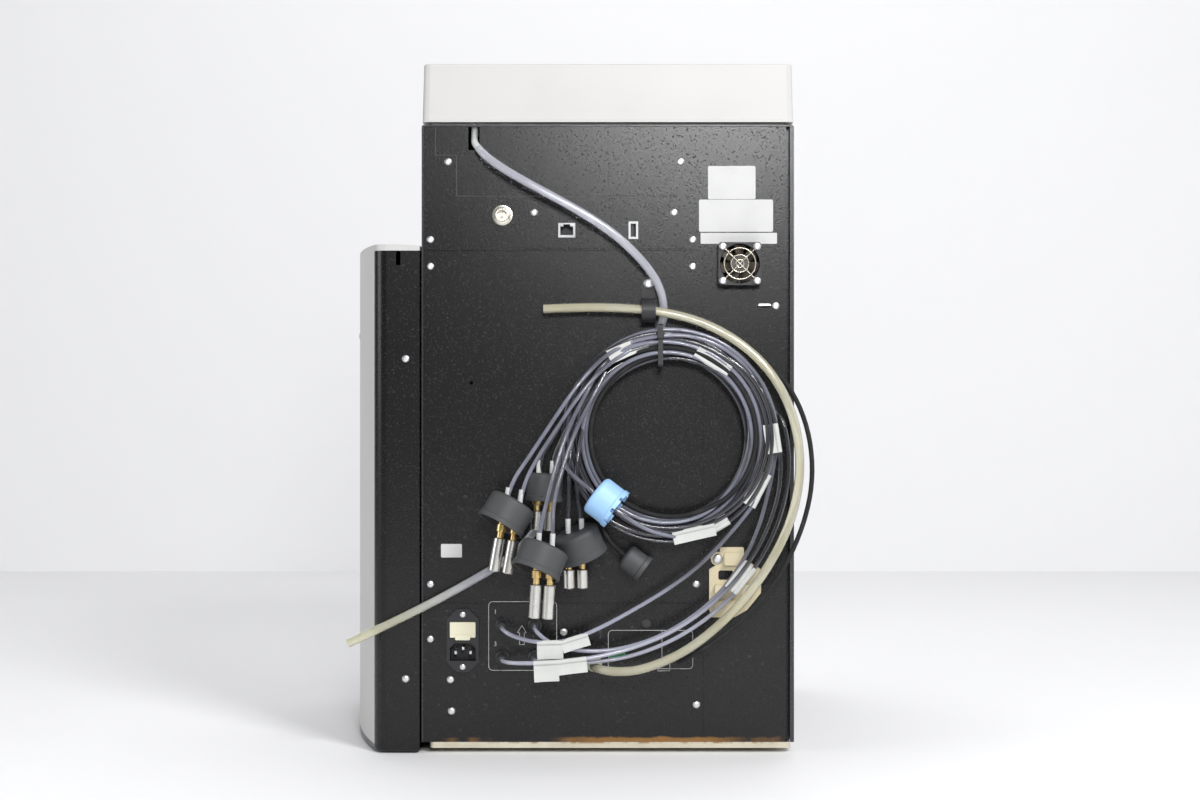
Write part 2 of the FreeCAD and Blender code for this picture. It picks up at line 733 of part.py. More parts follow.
def solvent_tray():
    """Moulded tray with drafted walls, a ribbed floor and a drain hole."""
    xs = (X_LEFT + FIT, X_RIGHT - FIT)
    ys = (Y_FRONT, Y_REAR)
    drawn_xs = (xs[0] + TRAY_DRAFT, xs[1] - TRAY_DRAFT)
    drawn_ys = (ys[0] + TRAY_DRAFT, ys[1] - TRAY_DRAFT)
    outside = Part.makeLoft(
        [rounded_wire(xs, ys, Z_TRAY, TRAY_CORNER), rounded_wire(drawn_xs, drawn_ys, Z_TOP, TRAY_CORNER)],
        True,
        True,
    )
    rim = [e for e in outside.Edges if abs(e.BoundBox.ZMin - Z_TOP) < 1e-6]
    outside = outside.makeFillet(1.6, rim)
    floor = Z_TRAY + TRAY_FLOOR
    inset = TRAY_WALL + 3.0
    inside = Part.makeLoft(
        [
            rounded_wire(
                (xs[0] + inset, xs[1] - inset), (ys[0] + inset, ys[1] - inset), floor, TRAY_CORNER
            ),
            rounded_wire(
                (drawn_xs[0] + TRAY_WALL, drawn_xs[1] - TRAY_WALL),
                (drawn_ys[0] + TRAY_WALL, drawn_ys[1] - TRAY_WALL),
                Z_TOP + 1,
                TRAY_CORNER,
            ),
        ],
        True,
        True,
    )
    ledge = soft_block(
        (xs[0] + TRAY_LEDGE, xs[1] - TRAY_LEDGE),
        (ys[0] + TRAY_LEDGE, ys[1] - TRAY_LEDGE),
        (Z_DECK, Z_TRAY),
        4.0,
        UP,
    )
    body = fused([outside.cut(inside), ledge])
    ribs = []
    rib_ys = (ys[0] + inset + 16, ys[1] - inset - 30)
    rib_zs = (floor, floor + TRAY_RIB_HEIGHT)
    span = xs[1] - xs[0] - 2 * inset - 30
    for index in range(TRAY_RIBS):
        x = xs[0] + inset + 15 + span * index / (TRAY_RIBS - 1)
        ribs.append(soft_block(about(x, 5.0), rib_ys, rib_zs, 2.0, UP))
    body = fused([body] + ribs)
    drain = rod(point(SLOT_X, SPOUT_Y, Z_DECK - 1), UP, TRAY_HEIGHT, 3.6)
    funnel = Part.makeCone(5.0, 9.0, 4.0, point(SLOT_X, SPOUT_Y - 10, floor - 3.0), UP)
    channel = block(about(SLOT_X, 7.0), (SPOUT_Y - 10, SPOUT_Y + 3.4), (floor - 3.0, floor + 3.0))
    return body.cut(Part.makeCompound([drain])).cut(fused([funnel, channel]))


def front_panel():
    """Moulded front with the bay opening, the screen opening and the switch opening."""
    panel = block((X_LEFT, X_RIGHT), (Y_FRONT, Y_FRONT + FRONT_THICKNESS), (Z_BODY, Z_DECK))
    edges = [e for e in edges_along(panel, UP) if e.CenterOfMass.y < Y_FRONT + 1]
    panel = panel.makeFillet(3.0, edges)
    bay = soft_block(
        about(BAY_X, BAY_WIDTH),
        (Y_FRONT - 2, Y_FRONT + 8),
        (BAY_FLOOR_Z, BAY_TOP),
        BAY_CORNER,
        BACKWARD,
    )
    neck = soft_block(
        about(X_MIDDLE, BEZEL_WIDTH - 2 * BEZEL_NECK + 2 * FIT),
        (Y_FRONT - 2, Y_FRONT + 8),
        about(BEZEL_Z, BEZEL_HEIGHT - 2 * BEZEL_NECK + 2 * FIT),
        6.0,
        BACKWARD,
    )
    switch = block(
        about(SWITCH_X, SWITCH_WIDTH + 2 * FIT),
        (Y_FRONT - 2, Y_FRONT + 8),
        about(SWITCH_Z, SWITCH_HEIGHT + 2 * FIT),
    )
    return panel.cut(Part.makeCompound([bay, neck, switch]))


def screen_bezel():
    """Pale housing that tapers to the front, with a sloped frame round the glass."""
    back = rounded_wire_upright(about(X_MIDDLE, BEZEL_WIDTH), about(BEZEL_Z, BEZEL_HEIGHT), Y_FRONT, 16.0)
    front = rounded_wire_upright(
        about(X_MIDDLE, BEZEL_WIDTH - 9), about(BEZEL_Z, BEZEL_HEIGHT - 9), Y_FRONT - BEZEL_PROUD, 13.0
    )
    shell = Part.makeLoft([back, front], True, True)
    neck = soft_block(
        about(X_MIDDLE, BEZEL_WIDTH - 2 * BEZEL_NECK),
        (Y_FRONT, Y_FRONT + 12),
        about(BEZEL_Z, BEZEL_HEIGHT - 2 * BEZEL_NECK),
        6.0,
        BACKWARD,
    )
    glass_back = Y_FRONT - BEZEL_PROUD + 2.0 + GLASS
    seat = block(
        about(X_MIDDLE, SCREEN_WIDTH + 2 * FIT),
        (Y_FRONT - BEZEL_PROUD - 2, glass_back),
        about(BEZEL_Z, SCREEN_HEIGHT + 2 * FIT),
    )
    slope = Part.makeLoft(
        [
            rounded_wire_upright(
                about(X_MIDDLE, SCREEN_WIDTH + 1),
                about(BEZEL_Z, SCREEN_HEIGHT + 1),
                glass_back - GLASS,
                1.0,
            ),
            rounded_wire_upright(
                about(X_MIDDLE, SCREEN_WIDTH + 9),
                about(BEZEL_Z, SCREEN_HEIGHT + 9),
                Y_FRONT - BEZEL_PROUD - 0.5,
                3.0,
            ),
        ],
        True,
        True,
    )
    return fused([shell, neck]).cut(fused([seat, slope]))


def touch_screen():
    back = Y_FRONT - BEZEL_PROUD + 2.0 + GLASS
    return soft_block(
        about(X_MIDDLE, SCREEN_WIDTH), (back - GLASS, back), about(BEZEL_Z, SCREEN_HEIGHT), 1.0, BACKWARD
    )


def bay_liner():
    """Open-fronted white liner on two folded feet, with two rack guides on its floor."""
    xs = about(BAY_X, BAY_WIDTH + 2 * SHEET)
    ys = (Y_FRONT + FRONT_THICKNESS, BAY_BACK)
    zs = (BAY_FLOOR_Z - SHEET, BAY_TOP + SHEET)
    outside = soft_block(xs, ys, zs, BAY_CORNER + SHEET, BACKWARD)
    inside = soft_block(
        (xs[0] + SHEET, xs[1] - SHEET),
        (ys[0] - 1, ys[1] - SHEET),
        (zs[0] + SHEET, zs[1] - SHEET),
        BAY_CORNER,
        BACKWARD,
    )
    parts = [outside.cut(inside)]
    for side in (-1, 1):
        x = BAY_X + side * (BAY_WIDTH / 2 - 40)
        foot = block(about(x, 26.0), (ys[0] + 20, ys[1] - 20), (FOOT_HEIGHT + PAN_SHEET, zs[0] + 0.5))
        hollow = block(
            about(x, 26.0 - 2 * SHEET),
            (ys[0] + 19, ys[1] - 19),
            (FOOT_HEIGHT + PAN_SHEET + SHEET, zs[0]),
        )
        parts.append(foot.cut(hollow))
    for offset in (-BAY_WIDTH / 4, BAY_WIDTH / 4):
        parts.append(
            soft_block(
                about(BAY_X + offset, 5.0),
                (ys[0] + 18, ys[1] - 40),
                (BAY_FLOOR_Z, BAY_FLOOR_Z + 3.0),
                2.0,
                UP,
            )
        )
    return fused(parts)


def arm_rail():
    """Grooved guide rail under the bay's ceiling."""
    z = BAY_TOP
    half = RAIL_WIDTH / 2
    waist = half - 2.5
    corners = [
        (-half, 0),
        (-half, -1.5),
        (-waist, -3.5),
        (-waist, -5.5),
        (-half, -7.5),
        (-half, -RAIL_HEIGHT),
        (half, -RAIL_HEIGHT),
        (half, -7.5),
        (waist, -5.5),
        (waist, -3.5),
        (half, -1.5),
        (half, 0),
    ]
    length = BAY_WIDTH - 2 * BAY_CORNER - 2
    outline = [point(BAY_X - length / 2, RAIL_Y + y, z + drop) for y, drop in corners]
    return prism(outline, V(length, 0, 0))


def collector_arm():
    """Carriage that hooks round the rail, with a boom that points forward."""
    top = BAY_TOP - 2.2
    rail_bottom = BAY_TOP - RAIL_HEIGHT
    outer = RAIL_WIDTH / 2 + CARRIAGE_WALL
    low = rail_bottom - CARRIAGE_WALL
    body = block(about(BAY_X, CARRIAGE_WIDTH), about(RAIL_Y, 2 * outer), (low, top))
    channel = block(
        about(BAY_X, CARRIAGE_WIDTH + 2), about(RAIL_Y, RAIL_WIDTH + 2 * FIT), (rail_bottom - FIT, top + 1)
    )
    body = body.cut(channel)
    side = [e for e in edges_along(body, UP) if abs(abs(e.CenterOfMass.y - RAIL_Y) - outer) < 1e-6]
    body = body.makeFillet(2.0, side)
    parts = [body]
    waist = RAIL_WIDTH / 2 - 2.5 + FIT
    for sign in (-1, 1):
        reach = RAIL_WIDTH / 2 + FIT + 0.5
        nose = [
            point(BAY_X - CARRIAGE_WIDTH / 2, RAIL_Y + sign * reach, BAY_TOP - 3.3),
            point(BAY_X - CARRIAGE_WIDTH / 2, RAIL_Y + sign * waist, BAY_TOP - 3.9),
            point(BAY_X - CARRIAGE_WIDTH / 2, RAIL_Y + sign * waist, BAY_TOP - 5.1),
            point(BAY_X - CARRIAGE_WIDTH / 2, RAIL_Y + sign * reach, BAY_TOP - 5.7),
        ]
        parts.append(prism(nose, V(CARRIAGE_WIDTH, 0, 0)))
    boom_top = low + 0.5
    boom_back = RAIL_Y + outer
    boom = block(
        about(BAY_X, BOOM_WIDTH), (boom_back - BOOM_LENGTH, boom_back), (boom_top - BOOM_HEIGHT, boom_top)
    )
    groove_depth = 2.5
    for sign in (-1, 1):
        inner = BOOM_WIDTH / 2 - groove_depth
        xs = sorted((BAY_X + sign * inner, BAY_X + sign * (BOOM_WIDTH / 2 + 1)))
        groove = block(
            xs,
            (boom_back - BOOM_LENGTH - 1, RAIL_Y - outer),
            about(boom_top - BOOM_HEIGHT / 2, 6.0),
        )
        boom = boom.cut(groove)
    parts.append(boom)
    stop = soft_block(
        about(BAY_X, BOOM_WIDTH + 6),
        (boom_back - BOOM_LENGTH - 3, boom_back - BOOM_LENGTH),
        (boom_top - BOOM_HEIGHT, boom_top),
        3.0,
        BACKWARD,
    )
    parts.append(stop)
    return fused(parts)


def dispense_head():
    """Block that rides on the boom and carries the drop-former nozzle."""
    rail_bottom = BAY_TOP - RAIL_HEIGHT
    outer = RAIL_WIDTH / 2 + CARRIAGE_WALL
    boom_top = rail_bottom - CARRIAGE_WALL + 0.5
    middle = boom_top - BOOM_HEIGHT / 2
    back = RAIL_Y - outer - 4.0
    ys = (back - HEAD_LENGTH, back)
    width = BOOM_WIDTH + 2 * HEAD_WALL
    body = soft_block(
        about(BAY_X, width), ys, (boom_top - BOOM_HEIGHT - HEAD_WALL - 4, boom_top + HEAD_WALL), 3.0, UP
    )
    tunnel = block(
        about(BAY_X, BOOM_WIDTH + 2 * FIT),
        (ys[0] - 1, ys[1] + 1),
        (boom_top - BOOM_HEIGHT - FIT, boom_top + FIT),
    )
    parts = [body.cut(tunnel)]
    for sign in (-1, 1):
        near = BOOM_WIDTH / 2 - 2.5 + FIT
        far = BOOM_WIDTH / 2 + FIT + 0.5
        xs = sorted((BAY_X + sign * near, BAY_X + sign * far))
        parts.append(block(xs, ys, about(middle, 6.0 - 2 * FIT)))
    low = boom_top - BOOM_HEIGHT - HEAD_WALL - 4
    profile = [
        (0, 1.0),
        (6.0, 1.0),
        (6.0, -8.0),
        (3.2, -10.0),
        (3.2, -NOZZLE_LENGTH + 8),
        (1.6, -NOZZLE_LENGTH),
        (0, -NOZZLE_LENGTH),
    ]
    parts.append(turned(profile, point(BAY_X, (ys[0] + ys[1]) / 2, low), UP))
    return fused(parts)


def switch_frame():
    """Snap-in housing of the power switch, open to the front."""
    rim = soft_block(
        about(SWITCH_X, SWITCH_WIDTH + 2 * SWITCH_RIM),
        (Y_FRONT - 1.6, Y_FRONT),
        about(SWITCH_Z, SWITCH_HEIGHT + 2 * SWITCH_RIM),
        1.5,
        BACKWARD,
    )
    body = block(
        about(SWITCH_X, SWITCH_WIDTH),
        (Y_FRONT, Y_FRONT + SWITCH_DEPTH),
        about(SWITCH_Z, SWITCH_HEIGHT),
    )
    well = block(
        about(SWITCH_X, SWITCH_WIDTH - 2 * SWITCH_WALL),
        (Y_FRONT - 3, Y_FRONT + SWITCH_DEPTH - SWITCH_WALL),
        about(SWITCH_Z, SWITCH_HEIGHT - 2 * SWITCH_WALL),
    )
    pivot = rod(
        point(SWITCH_X, Y_FRONT + 3.0, SWITCH_Z - SWITCH_HEIGHT / 2 - 1),
        UP,
        SWITCH_HEIGHT + 2,
        TRUNNION + RUNNING_FIT,
    )
    return fused([rim, body]).cut(fused([well, pivot]))


def power_rocker():
    """Rocker with two sloped faces on a pair of trunnions, resting on its right-hand side."""
    half = SWITCH_WIDTH / 2 - SWITCH_WALL - 1.2
    pivot_y = Y_FRONT + 3.0
    outline = [
        (-half, 2.0),
        (-half, -4.6),
        (0, -3.0),
        (half, -4.6),
        (half, 2.0),
        (3.0, 4.0),
        (-3.0, 4.0),
    ]
    height = SWITCH_HEIGHT - 2 * SWITCH_WALL - 0.6
    low = SWITCH_Z - height / 2
    corners = [point(SWITCH_X + x, pivot_y + y, low) for x, y in outline]
    paddle = prism(corners, V(0, 0, height))
    pins = rod(point(SWITCH_X, pivot_y, SWITCH_Z - height / 2 - 1.2), UP, height + 2.4, TRUNNION)
    rocker = fused([paddle, pins])
    rocker.rotate(point(SWITCH_X, pivot_y, SWITCH_Z), UP, -ROCKER_TILT)
    return rocker


def fan_frame():
    """Square fan frame with a round duct, four struts, a motor seat and its pin."""
    ys = (Y_REAR, Y_REAR + FAN_DEPTH)
    frame = soft_block(about(FAN_X, FAN_SIZE), ys, about(FAN_Z, FAN_SIZE), 3.0, BACKWARD)
    duct = rod(point(FAN_X, ys[0] - 1, FAN_Z), BACKWARD, FAN_DEPTH + 2, FAN_BORE)
    frame = frame.cut(duct)
    struts = []
    for turn in range(4):
        bar = block((FAN_X + FAN_HUB - 1, FAN_X + FAN_BORE + 0.6), (ys[0], ys[0] + 2.4), about(FAN_Z, 2.2))
        bar.rotate(point(FAN_X, ys[0], FAN_Z), BACKWARD, 90 * turn)
        struts.append(bar)
    seat = rod(point(FAN_X, ys[0], FAN_Z), BACKWARD, 2.4, FAN_HUB)
    pin = rod(point(FAN_X, ys[0] + 2.0, FAN_Z), BACKWARD, 8.0, FAN_PIN)
    frame = fused([frame, seat, pin] + struts)
    holes = []
    for x, z in fan_screw_points():
        holes.append(rod(point(x, ys[0] - 1, z), BACKWARD, FAN_DEPTH + 2, SCREW_HOLE))
    return frame.cut(Part.makeCompound(holes))


def blade_section(radius, chord, pitch, thickness, y):
    """Rectangle of a fan blade's section at one radius, turned by its pitch."""
    along = V(math.sin(math.radians(pitch)), math.cos(math.radians(pitch)), 0)
    across = V(along.y, -along.x, 0)
    middle = point(FAN_X, y, FAN_Z + radius)
    corners = []
    for i, j in ((-1, -1), (1, -1), (1, 1), (-1, 1)):
        corners.append(middle + along * (i * chord / 2) + across * (j * thickness / 2))
    return Part.makePolygon(corners + corners[:1])


def fan_rotor():
    """Impeller: a cup-shaped hub and twisted blades."""
    front = Y_REAR + 3.0
    depth = 10.5
    hub = rod(point(FAN_X, front, FAN_Z), BACKWARD, depth, FAN_HUB)
    hub = hub.makeFillet(1.2, [e for e in hub.Edges if abs(e.CenterOfMass.y - front - depth) < 1e-6])
    middle = front + depth / 2
    blade = Part.makeLoft(
        [
            blade_section(FAN_HUB - 0.6, 9.4, 48, 1.2, middle),
            blade_section(FAN_BORE - 0.8, 12.0, 60, 0.9, middle),
        ],
        True,
        True,
    )
    blades = []
    for index in range(FAN_BLADES):
        turned_blade = blade.copy()
        turned_blade.rotate(point(FAN_X, middle, FAN_Z), BACKWARD, 360.0 * index / FAN_BLADES)
        blades.append(turned_blade)
    keep = rod(point(FAN_X, front, FAN_Z), BACKWARD, depth, FAN_BORE - 0.7)
    rotor = fused([hub] + blades).common(keep)
    bore = rod(point(FAN_X, front - 1, FAN_Z), BACKWARD, 8.4, FAN_PIN + RUNNING_FIT)
    return rotor.cut(bore)


def fan_guard():
    """Welded wire guard: three rings on a cross that ends in four eyelets."""
    face = Y_REAR + FAN_DEPTH
    wire = GUARD_WIRE / 2
    reach = FAN_HOLE_PITCH / math.sqrt(2)
    parts = []
    for radius in GUARD_RINGS:
        parts.append(Part.makeTorus(radius, wire, point(FAN_X, face + 3 * wire - 0.25, FAN_Z), BACKWARD))
    for angle in (45, 135):
        direction = V(math.cos(math.radians(angle)), 0, math.sin(math.radians(angle)))
        start = point(FAN_X, face + wire, FAN_Z) - direction * (reach - 2.6)
        parts.append(rod(start, direction, 2 * (reach - 2.6), wire))
    for x, z in fan_screw_points():
        eye = rod(point(x, face, z), BACKWARD, GUARD_WIRE, 3.3)
        parts.append(eye.cut(rod(point(x, face - 1, z), BACKWARD, 4, SCREW_HOLE)))
    return fused(parts)


def mains_inlet():
    """Panel inlet: eared flange, moulded body, plug recess and fuse pocket."""
    face = Y_REAR + INLET_FLANGE
    half = INLET_WIDTH / 2
    ear = INLET_EAR_PITCH / 2 + 5.0
    shoulder = INLET_BODY_HEIGHT / 2
    outline = [
        (-half, -shoulder),
        (-5.5, -ear),
        (5.5, -ear),
        (half, -shoulder),
        (half, shoulder),
        (5.5, ear),
        (-5.5, ear),
        (-half, shoulder),
    ]
    corners = [point(INLET_X + x, Y_REAR, INLET_Z + z) for x, z in outline]
    flange = prism(corners, V(0, INLET_FLANGE, 0))
    flange = flange.makeFillet(3.6, edges_along(flange, BACKWARD))
    body = soft_block(
        about(INLET_X, INLET_BODY_WIDTH),
        (face - INLET_BODY_DEPTH, Y_REAR + 1),
        about(INLET_Z, INLET_BODY_HEIGHT),
        1.5,
        BACKWARD,
    )
    recess_z = INLET_Z - PLUG_DROP
    half_w = PLUG_WIDTH / 2
    half_h = PLUG_HEIGHT / 2
    recess = [
        (-half_w, -half_h),
        (half_w, -half_h),
        (half_w, half_h - 4.5),
        (half_w - 4.5, half_h),
        (4.5 - half_w, half_h),
        (-half_w, half_h - 4.5),
    ]
    corners = [point(INLET_X + x, face - PLUG_DEPTH, recess_z + z) for x, z in recess]
    socket = prism(corners, V(0, PLUG_DEPTH + 2, 0))
    pocket = block(
        about(INLET_X, DRAWER_WIDTH + 2 * FIT),
        (face - DRAWER_DEPTH - FIT, face + 2),
        about(INLET_Z + DRAWER_RISE, DRAWER_HEIGHT + 2 * FIT),
    )
    holes = []
    for x, z in inlet_screw_points():
        holes.append(rod(point(x, Y_REAR - 1, z), BACKWARD, 8, SCREW_HOLE))
    return fused([flange, body]).cut(Part.makeCompound([socket] + holes)).cut(pocket)


def inlet_pins():
    """Three flat pins on the floor of the plug recess."""
    floor = Y_REAR + INLET_FLANGE - PLUG_DEPTH
    recess_z = INLET_Z - PLUG_DROP
    pins = []
    for dx, dz in ((-PIN_SPREAD, -1.0), (0, 3.0), (PIN_SPREAD, -1.0)):
        pin = block(
            about(INLET_X + dx, PIN_THICKNESS), (floor, floor + PIN_LENGTH), about(recess_z + dz, PIN_WIDTH)
        )
        tip = [e for e in edges_along(pin, RIGHTWARD) if e.CenterOfMass.y > floor + 1]
        pins.append(pin.makeChamfer(0.7, tip))
    return Part.makeCompound(pins)


def fuse_drawer():
    """Fuse carrier with a thumb tab over its lower edge."""
    face = Y_REAR + INLET_FLANGE
    middle = INLET_Z + DRAWER_RISE
    carrier = soft_block(
        about(INLET_X, DRAWER_WIDTH),
        (face - DRAWER_DEPTH, face + 1.2),
        about(middle, DRAWER_HEIGHT),
        0.8,
        BACKWARD,
    )
    tab_top = middle - DRAWER_HEIGHT / 2 + 2.6
    tab = soft_block(
        about(INLET_X, DRAWER_TAB_WIDTH), (face + FIT, face + 2.6), (tab_top - 4.9, tab_top), 1.0, BACKWARD
    )
    trough = rod(point(INLET_X - 9, face - 7.5, middle + DRAWER_HEIGHT / 2), RIGHTWARD, 18, 3.1)
    return fused([carrier, tab]).cut(trough)


def data_sockets():
    """Shielded network and USB sockets, each with its flange on the communications plate."""
    front = Y_REAR + OVERLAY
    shell = block(
        about(NETWORK_X, NETWORK_WIDTH),
        (front - NETWORK_DEPTH, front + 0.6),
        about(SOCKET_Z, NETWORK_HEIGHT),
    )
    mouth = block(about(NETWORK_X, 12.0), (front - 13, front + 2), (SOCKET_Z - 4.6, SOCKET_Z + 3.6))
    notch = block(about(NETWORK_X, 6.4), (front - 13, front + 2), (SOCKET_Z + 3.6, SOCKET_Z + 5.6))
    network = shell.cut(fused([mouth, notch]))
    flange = block(
        about(USB_X, USB_WIDTH + 2 * SOCKET_FLANGE),
        (front, front + 0.6),
        about(SOCKET_Z, USB_HEIGHT + 2 * SOCKET_FLANGE),
    )
    case = block(about(USB_X, USB_WIDTH), (front - USB_DEPTH, front), about(SOCKET_Z, USB_HEIGHT))
    hollow = block(about(USB_X, USB_WIDTH - 0.8), (front - 11, front + 2), about(SOCKET_Z, USB_HEIGHT - 0.8))
    tongue = block((USB_X - 0.2, USB_X + 1.8), (front - 12, front - 2), about(SOCKET_Z, USB_HEIGHT - 2))
    usb = fused([flange, case]).cut(hollow)
    usb = fused([usb, tongue])
    return Part.makeCompound([network, usb])


def detector_connector():
    """Round nickel-plated socket: washer, nut and open barrel."""
    profile = [
        (0, -10.0),
        (6.2, -10.0),
        (6.2, 0),
        (DETECTOR_RADIUS, 0),
        (DETECTOR_RADIUS, 1.4),
        (8.0, 1.6),
        (8.0, 4.2),
        (6.4, 4.6),
        (6.4, DETECTOR_REACH - 0.5),
        (5.9, DETECTOR_REACH),
        (4.6, DETECTOR_REACH),
        (4.6, 1.5),
        (1.6, 1.5),
        (1.6, 5.5),
        (0, 5.5),
    ]
    return turned(profile, point(DETECTOR_X, Y_REAR, DETECTOR_Z), BACKWARD)


def terminal_connector():
    """Small plug-in terminal strip with a row of contact holes."""
    body = soft_block(
        about(TERMINAL_X, TERMINAL_WIDTH),
        (Y_REAR - 9, Y_REAR + 5),
        about(TERMINAL_Z, TERMINAL_HEIGHT),
        0.8,
        BACKWARD,
    )
    holes = []
    for index in range(4):
        x = TERMINAL_X + (index - 1.5) * 3.5
        holes.append(block(about(x, 2.2), (Y_REAR + 3.4, Y_REAR + 7), about(TERMINAL_Z, 2.6)))
    return body.cut(Part.makeCompound(holes))


def port(x, z, nut, stem, thread, reach):
    """Bulkhead tube fitting: thread, fluted nut, tapered collar and stem."""
    profile = [
        (0, -12.0),
        (thread, -12.0),
        (thread, 0),
        (nut, 0),
        (nut, reach * 0.42),
        (nut - 1.2, reach * 0.5),
        (stem + 0.9, reach * 0.72),
        (stem, reach * 0.8),
        (stem, reach),
        (0, reach),
    ]
    return turned(profile, point(x, Y_REAR, z), BACKWARD)


def panel_fittings():
    """Solvent ports, waste port, sensor socket ring, drain spout and the plug of a spare hole."""
    parts = []
    for x, z in port_points():
        parts.append(port(x, z, PORT_NUT, PORT_STEM, PORT_THREAD, PORT_REACH))
    parts.append(port(WASTE_X, WASTE_Z, WASTE_NUT, WASTE_STEM, PORT_THREAD + 1, PORT_REACH))
    ring = [
        (SENSOR_PLUG + FIT, -6.0),
        (SENSOR_RING - 1.8, -6.0),
        (SENSOR_RING - 1.8, 0),
        (SENSOR_RING, 0),
        (SENSOR_RING, 1.6),
        (SENSOR_RING - 0.8, 2.4),
        (SENSOR_PLUG + FIT, 2.4),
    ]
    parts.append(turned(ring, point(SENSOR_X, Y_REAR, SENSOR_Z), BACKWARD))
    parts.append(drain_spout())
    parts.append(hole_plug())
    return Part.makeCompound(parts)


def drain_spout():
    """Outlet pipe of the solvent tray, bent so that it comes out of the rear slot."""
    top = Z_TRAY + TRAY_FLOOR - 3.0
    path = [
        point(SLOT_X, SPOUT_Y, top),
        point(SLOT_X, SPOUT_Y, REAR_TOP - 7.5),
        point(SLOT_X, Y_REAR - 1.5, REAR_TOP - 14.5),
        drain_points()[0],
    ]
    return tube_run("drain_spout", path, SPOUT_RADIUS)


def sensor_plug():
    """Round plug with a tapered, grooved strain relief."""
    profile = [
        (0, -5.0),
        (SENSOR_PLUG, -5.0),
        (SENSOR_PLUG, 3.0),
        (6.6, 3.4),
        (6.6, 8.0),
        (5.2, 9.0),
        (3.4, 16.0),
        (0, 16.0),
    ]
    return turned(profile, point(SENSOR_X, Y_REAR, SENSOR_Z), BACKWARD)


def tube_clip():
    """Strap bent into a loop, with a flat tab under one screw."""
    outer = CLIP_BORE + CLIP_STRAP
    middle_z = clip_middle()
    xs = about(CLIP_X, CLIP_WIDTH)
    centre = point(xs[0], Y_REAR + outer, middle_z)
    ring = rod(centre, RIGHTWARD, CLIP_WIDTH, outer)
    ring = ring.cut(rod(centre - V(1, 0, 0), RIGHTWARD, CLIP_WIDTH + 2, CLIP_BORE))
    tab = block(xs, (Y_REAR, Y_REAR + CLIP_STRAP), (middle_z, CLIP_SCREW_Z + 7))
    top_edges = [e for e in edges_along(tab, BACKWARD) if e.CenterOfMass.z > CLIP_SCREW_Z]
    tab = tab.makeFillet(6.0, top_edges)
    inner_face = rod(centre - V(1, 0, 0), RIGHTWARD, CLIP_WIDTH + 2, CLIP_BORE)
    clip = fused([ring, tab]).cut(inner_face)
    return clip.cut(rod(point(CLIP_X, Y_REAR - 1, CLIP_SCREW_Z), BACKWARD, 6, SCREW_HOLE + 0.4))


def clip_middle():
    """Height of the clip's loop, which stands on the tie that holds the coil."""
    return COIL_Z + COIL_OUTER + 0.5 + TIE_STRAP + FIT + CLIP_BORE + CLIP_STRAP


def bundle_tie():
    """Cable tie closed round the top of the tubing coil, with its locking head."""
    gap = 0.5
    ys = (Y_REAR + COIL_STANDOFF - gap, Y_REAR + COIL_STANDOFF + COIL_THICKNESS + gap)
    zs = (COIL_Z + COIL_INNER - 1.0, COIL_Z + COIL_OUTER + gap)
    xs = about(TIE_X, TIE_WIDTH)
    outside = soft_block(
        xs,
        (ys[0] - TIE_STRAP, ys[1] + TIE_STRAP),
        (zs[0] - TIE_STRAP, zs[1] + TIE_STRAP),
        3.0,
        RIGHTWARD,
    )
    inside = soft_block((xs[0] - 1, xs[1] + 1), ys, zs, 1.6, RIGHTWARD)
    head = soft_block(
        about(TIE_X, TIE_WIDTH + 2),
        (ys[1] + TIE_STRAP - 0.4, ys[1] + TIE_STRAP + 4),
        (zs[1] - 12, zs[1] - 5),
        1.0,
        UP,
    )
    return fused([outside.cut(inside), head])


def tab_point(y):
    return point(SPLIT_X - TAB_OFFSET, y, CONNECTION_TOP + TAB_RISE)


def tube_bracket():
    """Stepped moulded bracket on the left strip, with three ribs and a window."""
    x = SPLIT_X - BRACKET_GAP
    z = CONNECTION_TOP - BRACKET_DROP
    outline = [
        (-10.0, 65.7),
        (-32.5, 65.7),
        (-32.5, 55.0),
        (-48.5, 45.0),
        (-48.5, 23.0),
        (-35.5, 7.0),
        (-23.5, 0.0),
        (-2.5, 0.0),
        (0.0, 7.0),
        (0.0, 45.0),
        (-10.0, 51.0),
    ]
    plate = prism([point(x + dx, Y_REAR, z + dz) for dx, dz in outline], V(0, BRACKET_PLATE, 0))
    plate = plate.makeFillet(1.5, edges_along(plate, BACKWARD))
    tab = rod(tab_point(Y_REAR), BACKWARD, BRACKET_PLATE, TAB_RADIUS)
    ribs = []
    for low_x, high_x, low_z, high_z, height in (
        (-28.5, -14.0, 49.0, 61.0, 9.0),
        (-43.5, -5.0, 23.0, 31.0, 11.0),
        (-25.5, -5.0, 4.0, 16.0, 8.0),
    ):
        ribs.append(
            soft_block(
                (x + low_x, x + high_x),
                (Y_REAR + 3, Y_REAR + height),
                (z + low_z, z + high_z),
                1.5,
                BACKWARD,
            )
        )
    window = soft_block((x - 22.5, x - 8.5), (Y_REAR - 1, Y_REAR + 6), (z + 35.0, z + 44.0), 2.0, BACKWARD)
    hole = rod(tab_point(Y_REAR - 1), BACKWARD, BRACKET_PLATE + 2, SCREW_HOLE)
    return fused([plate, tab] + ribs).cut(Part.makeCompound([window, hole]))


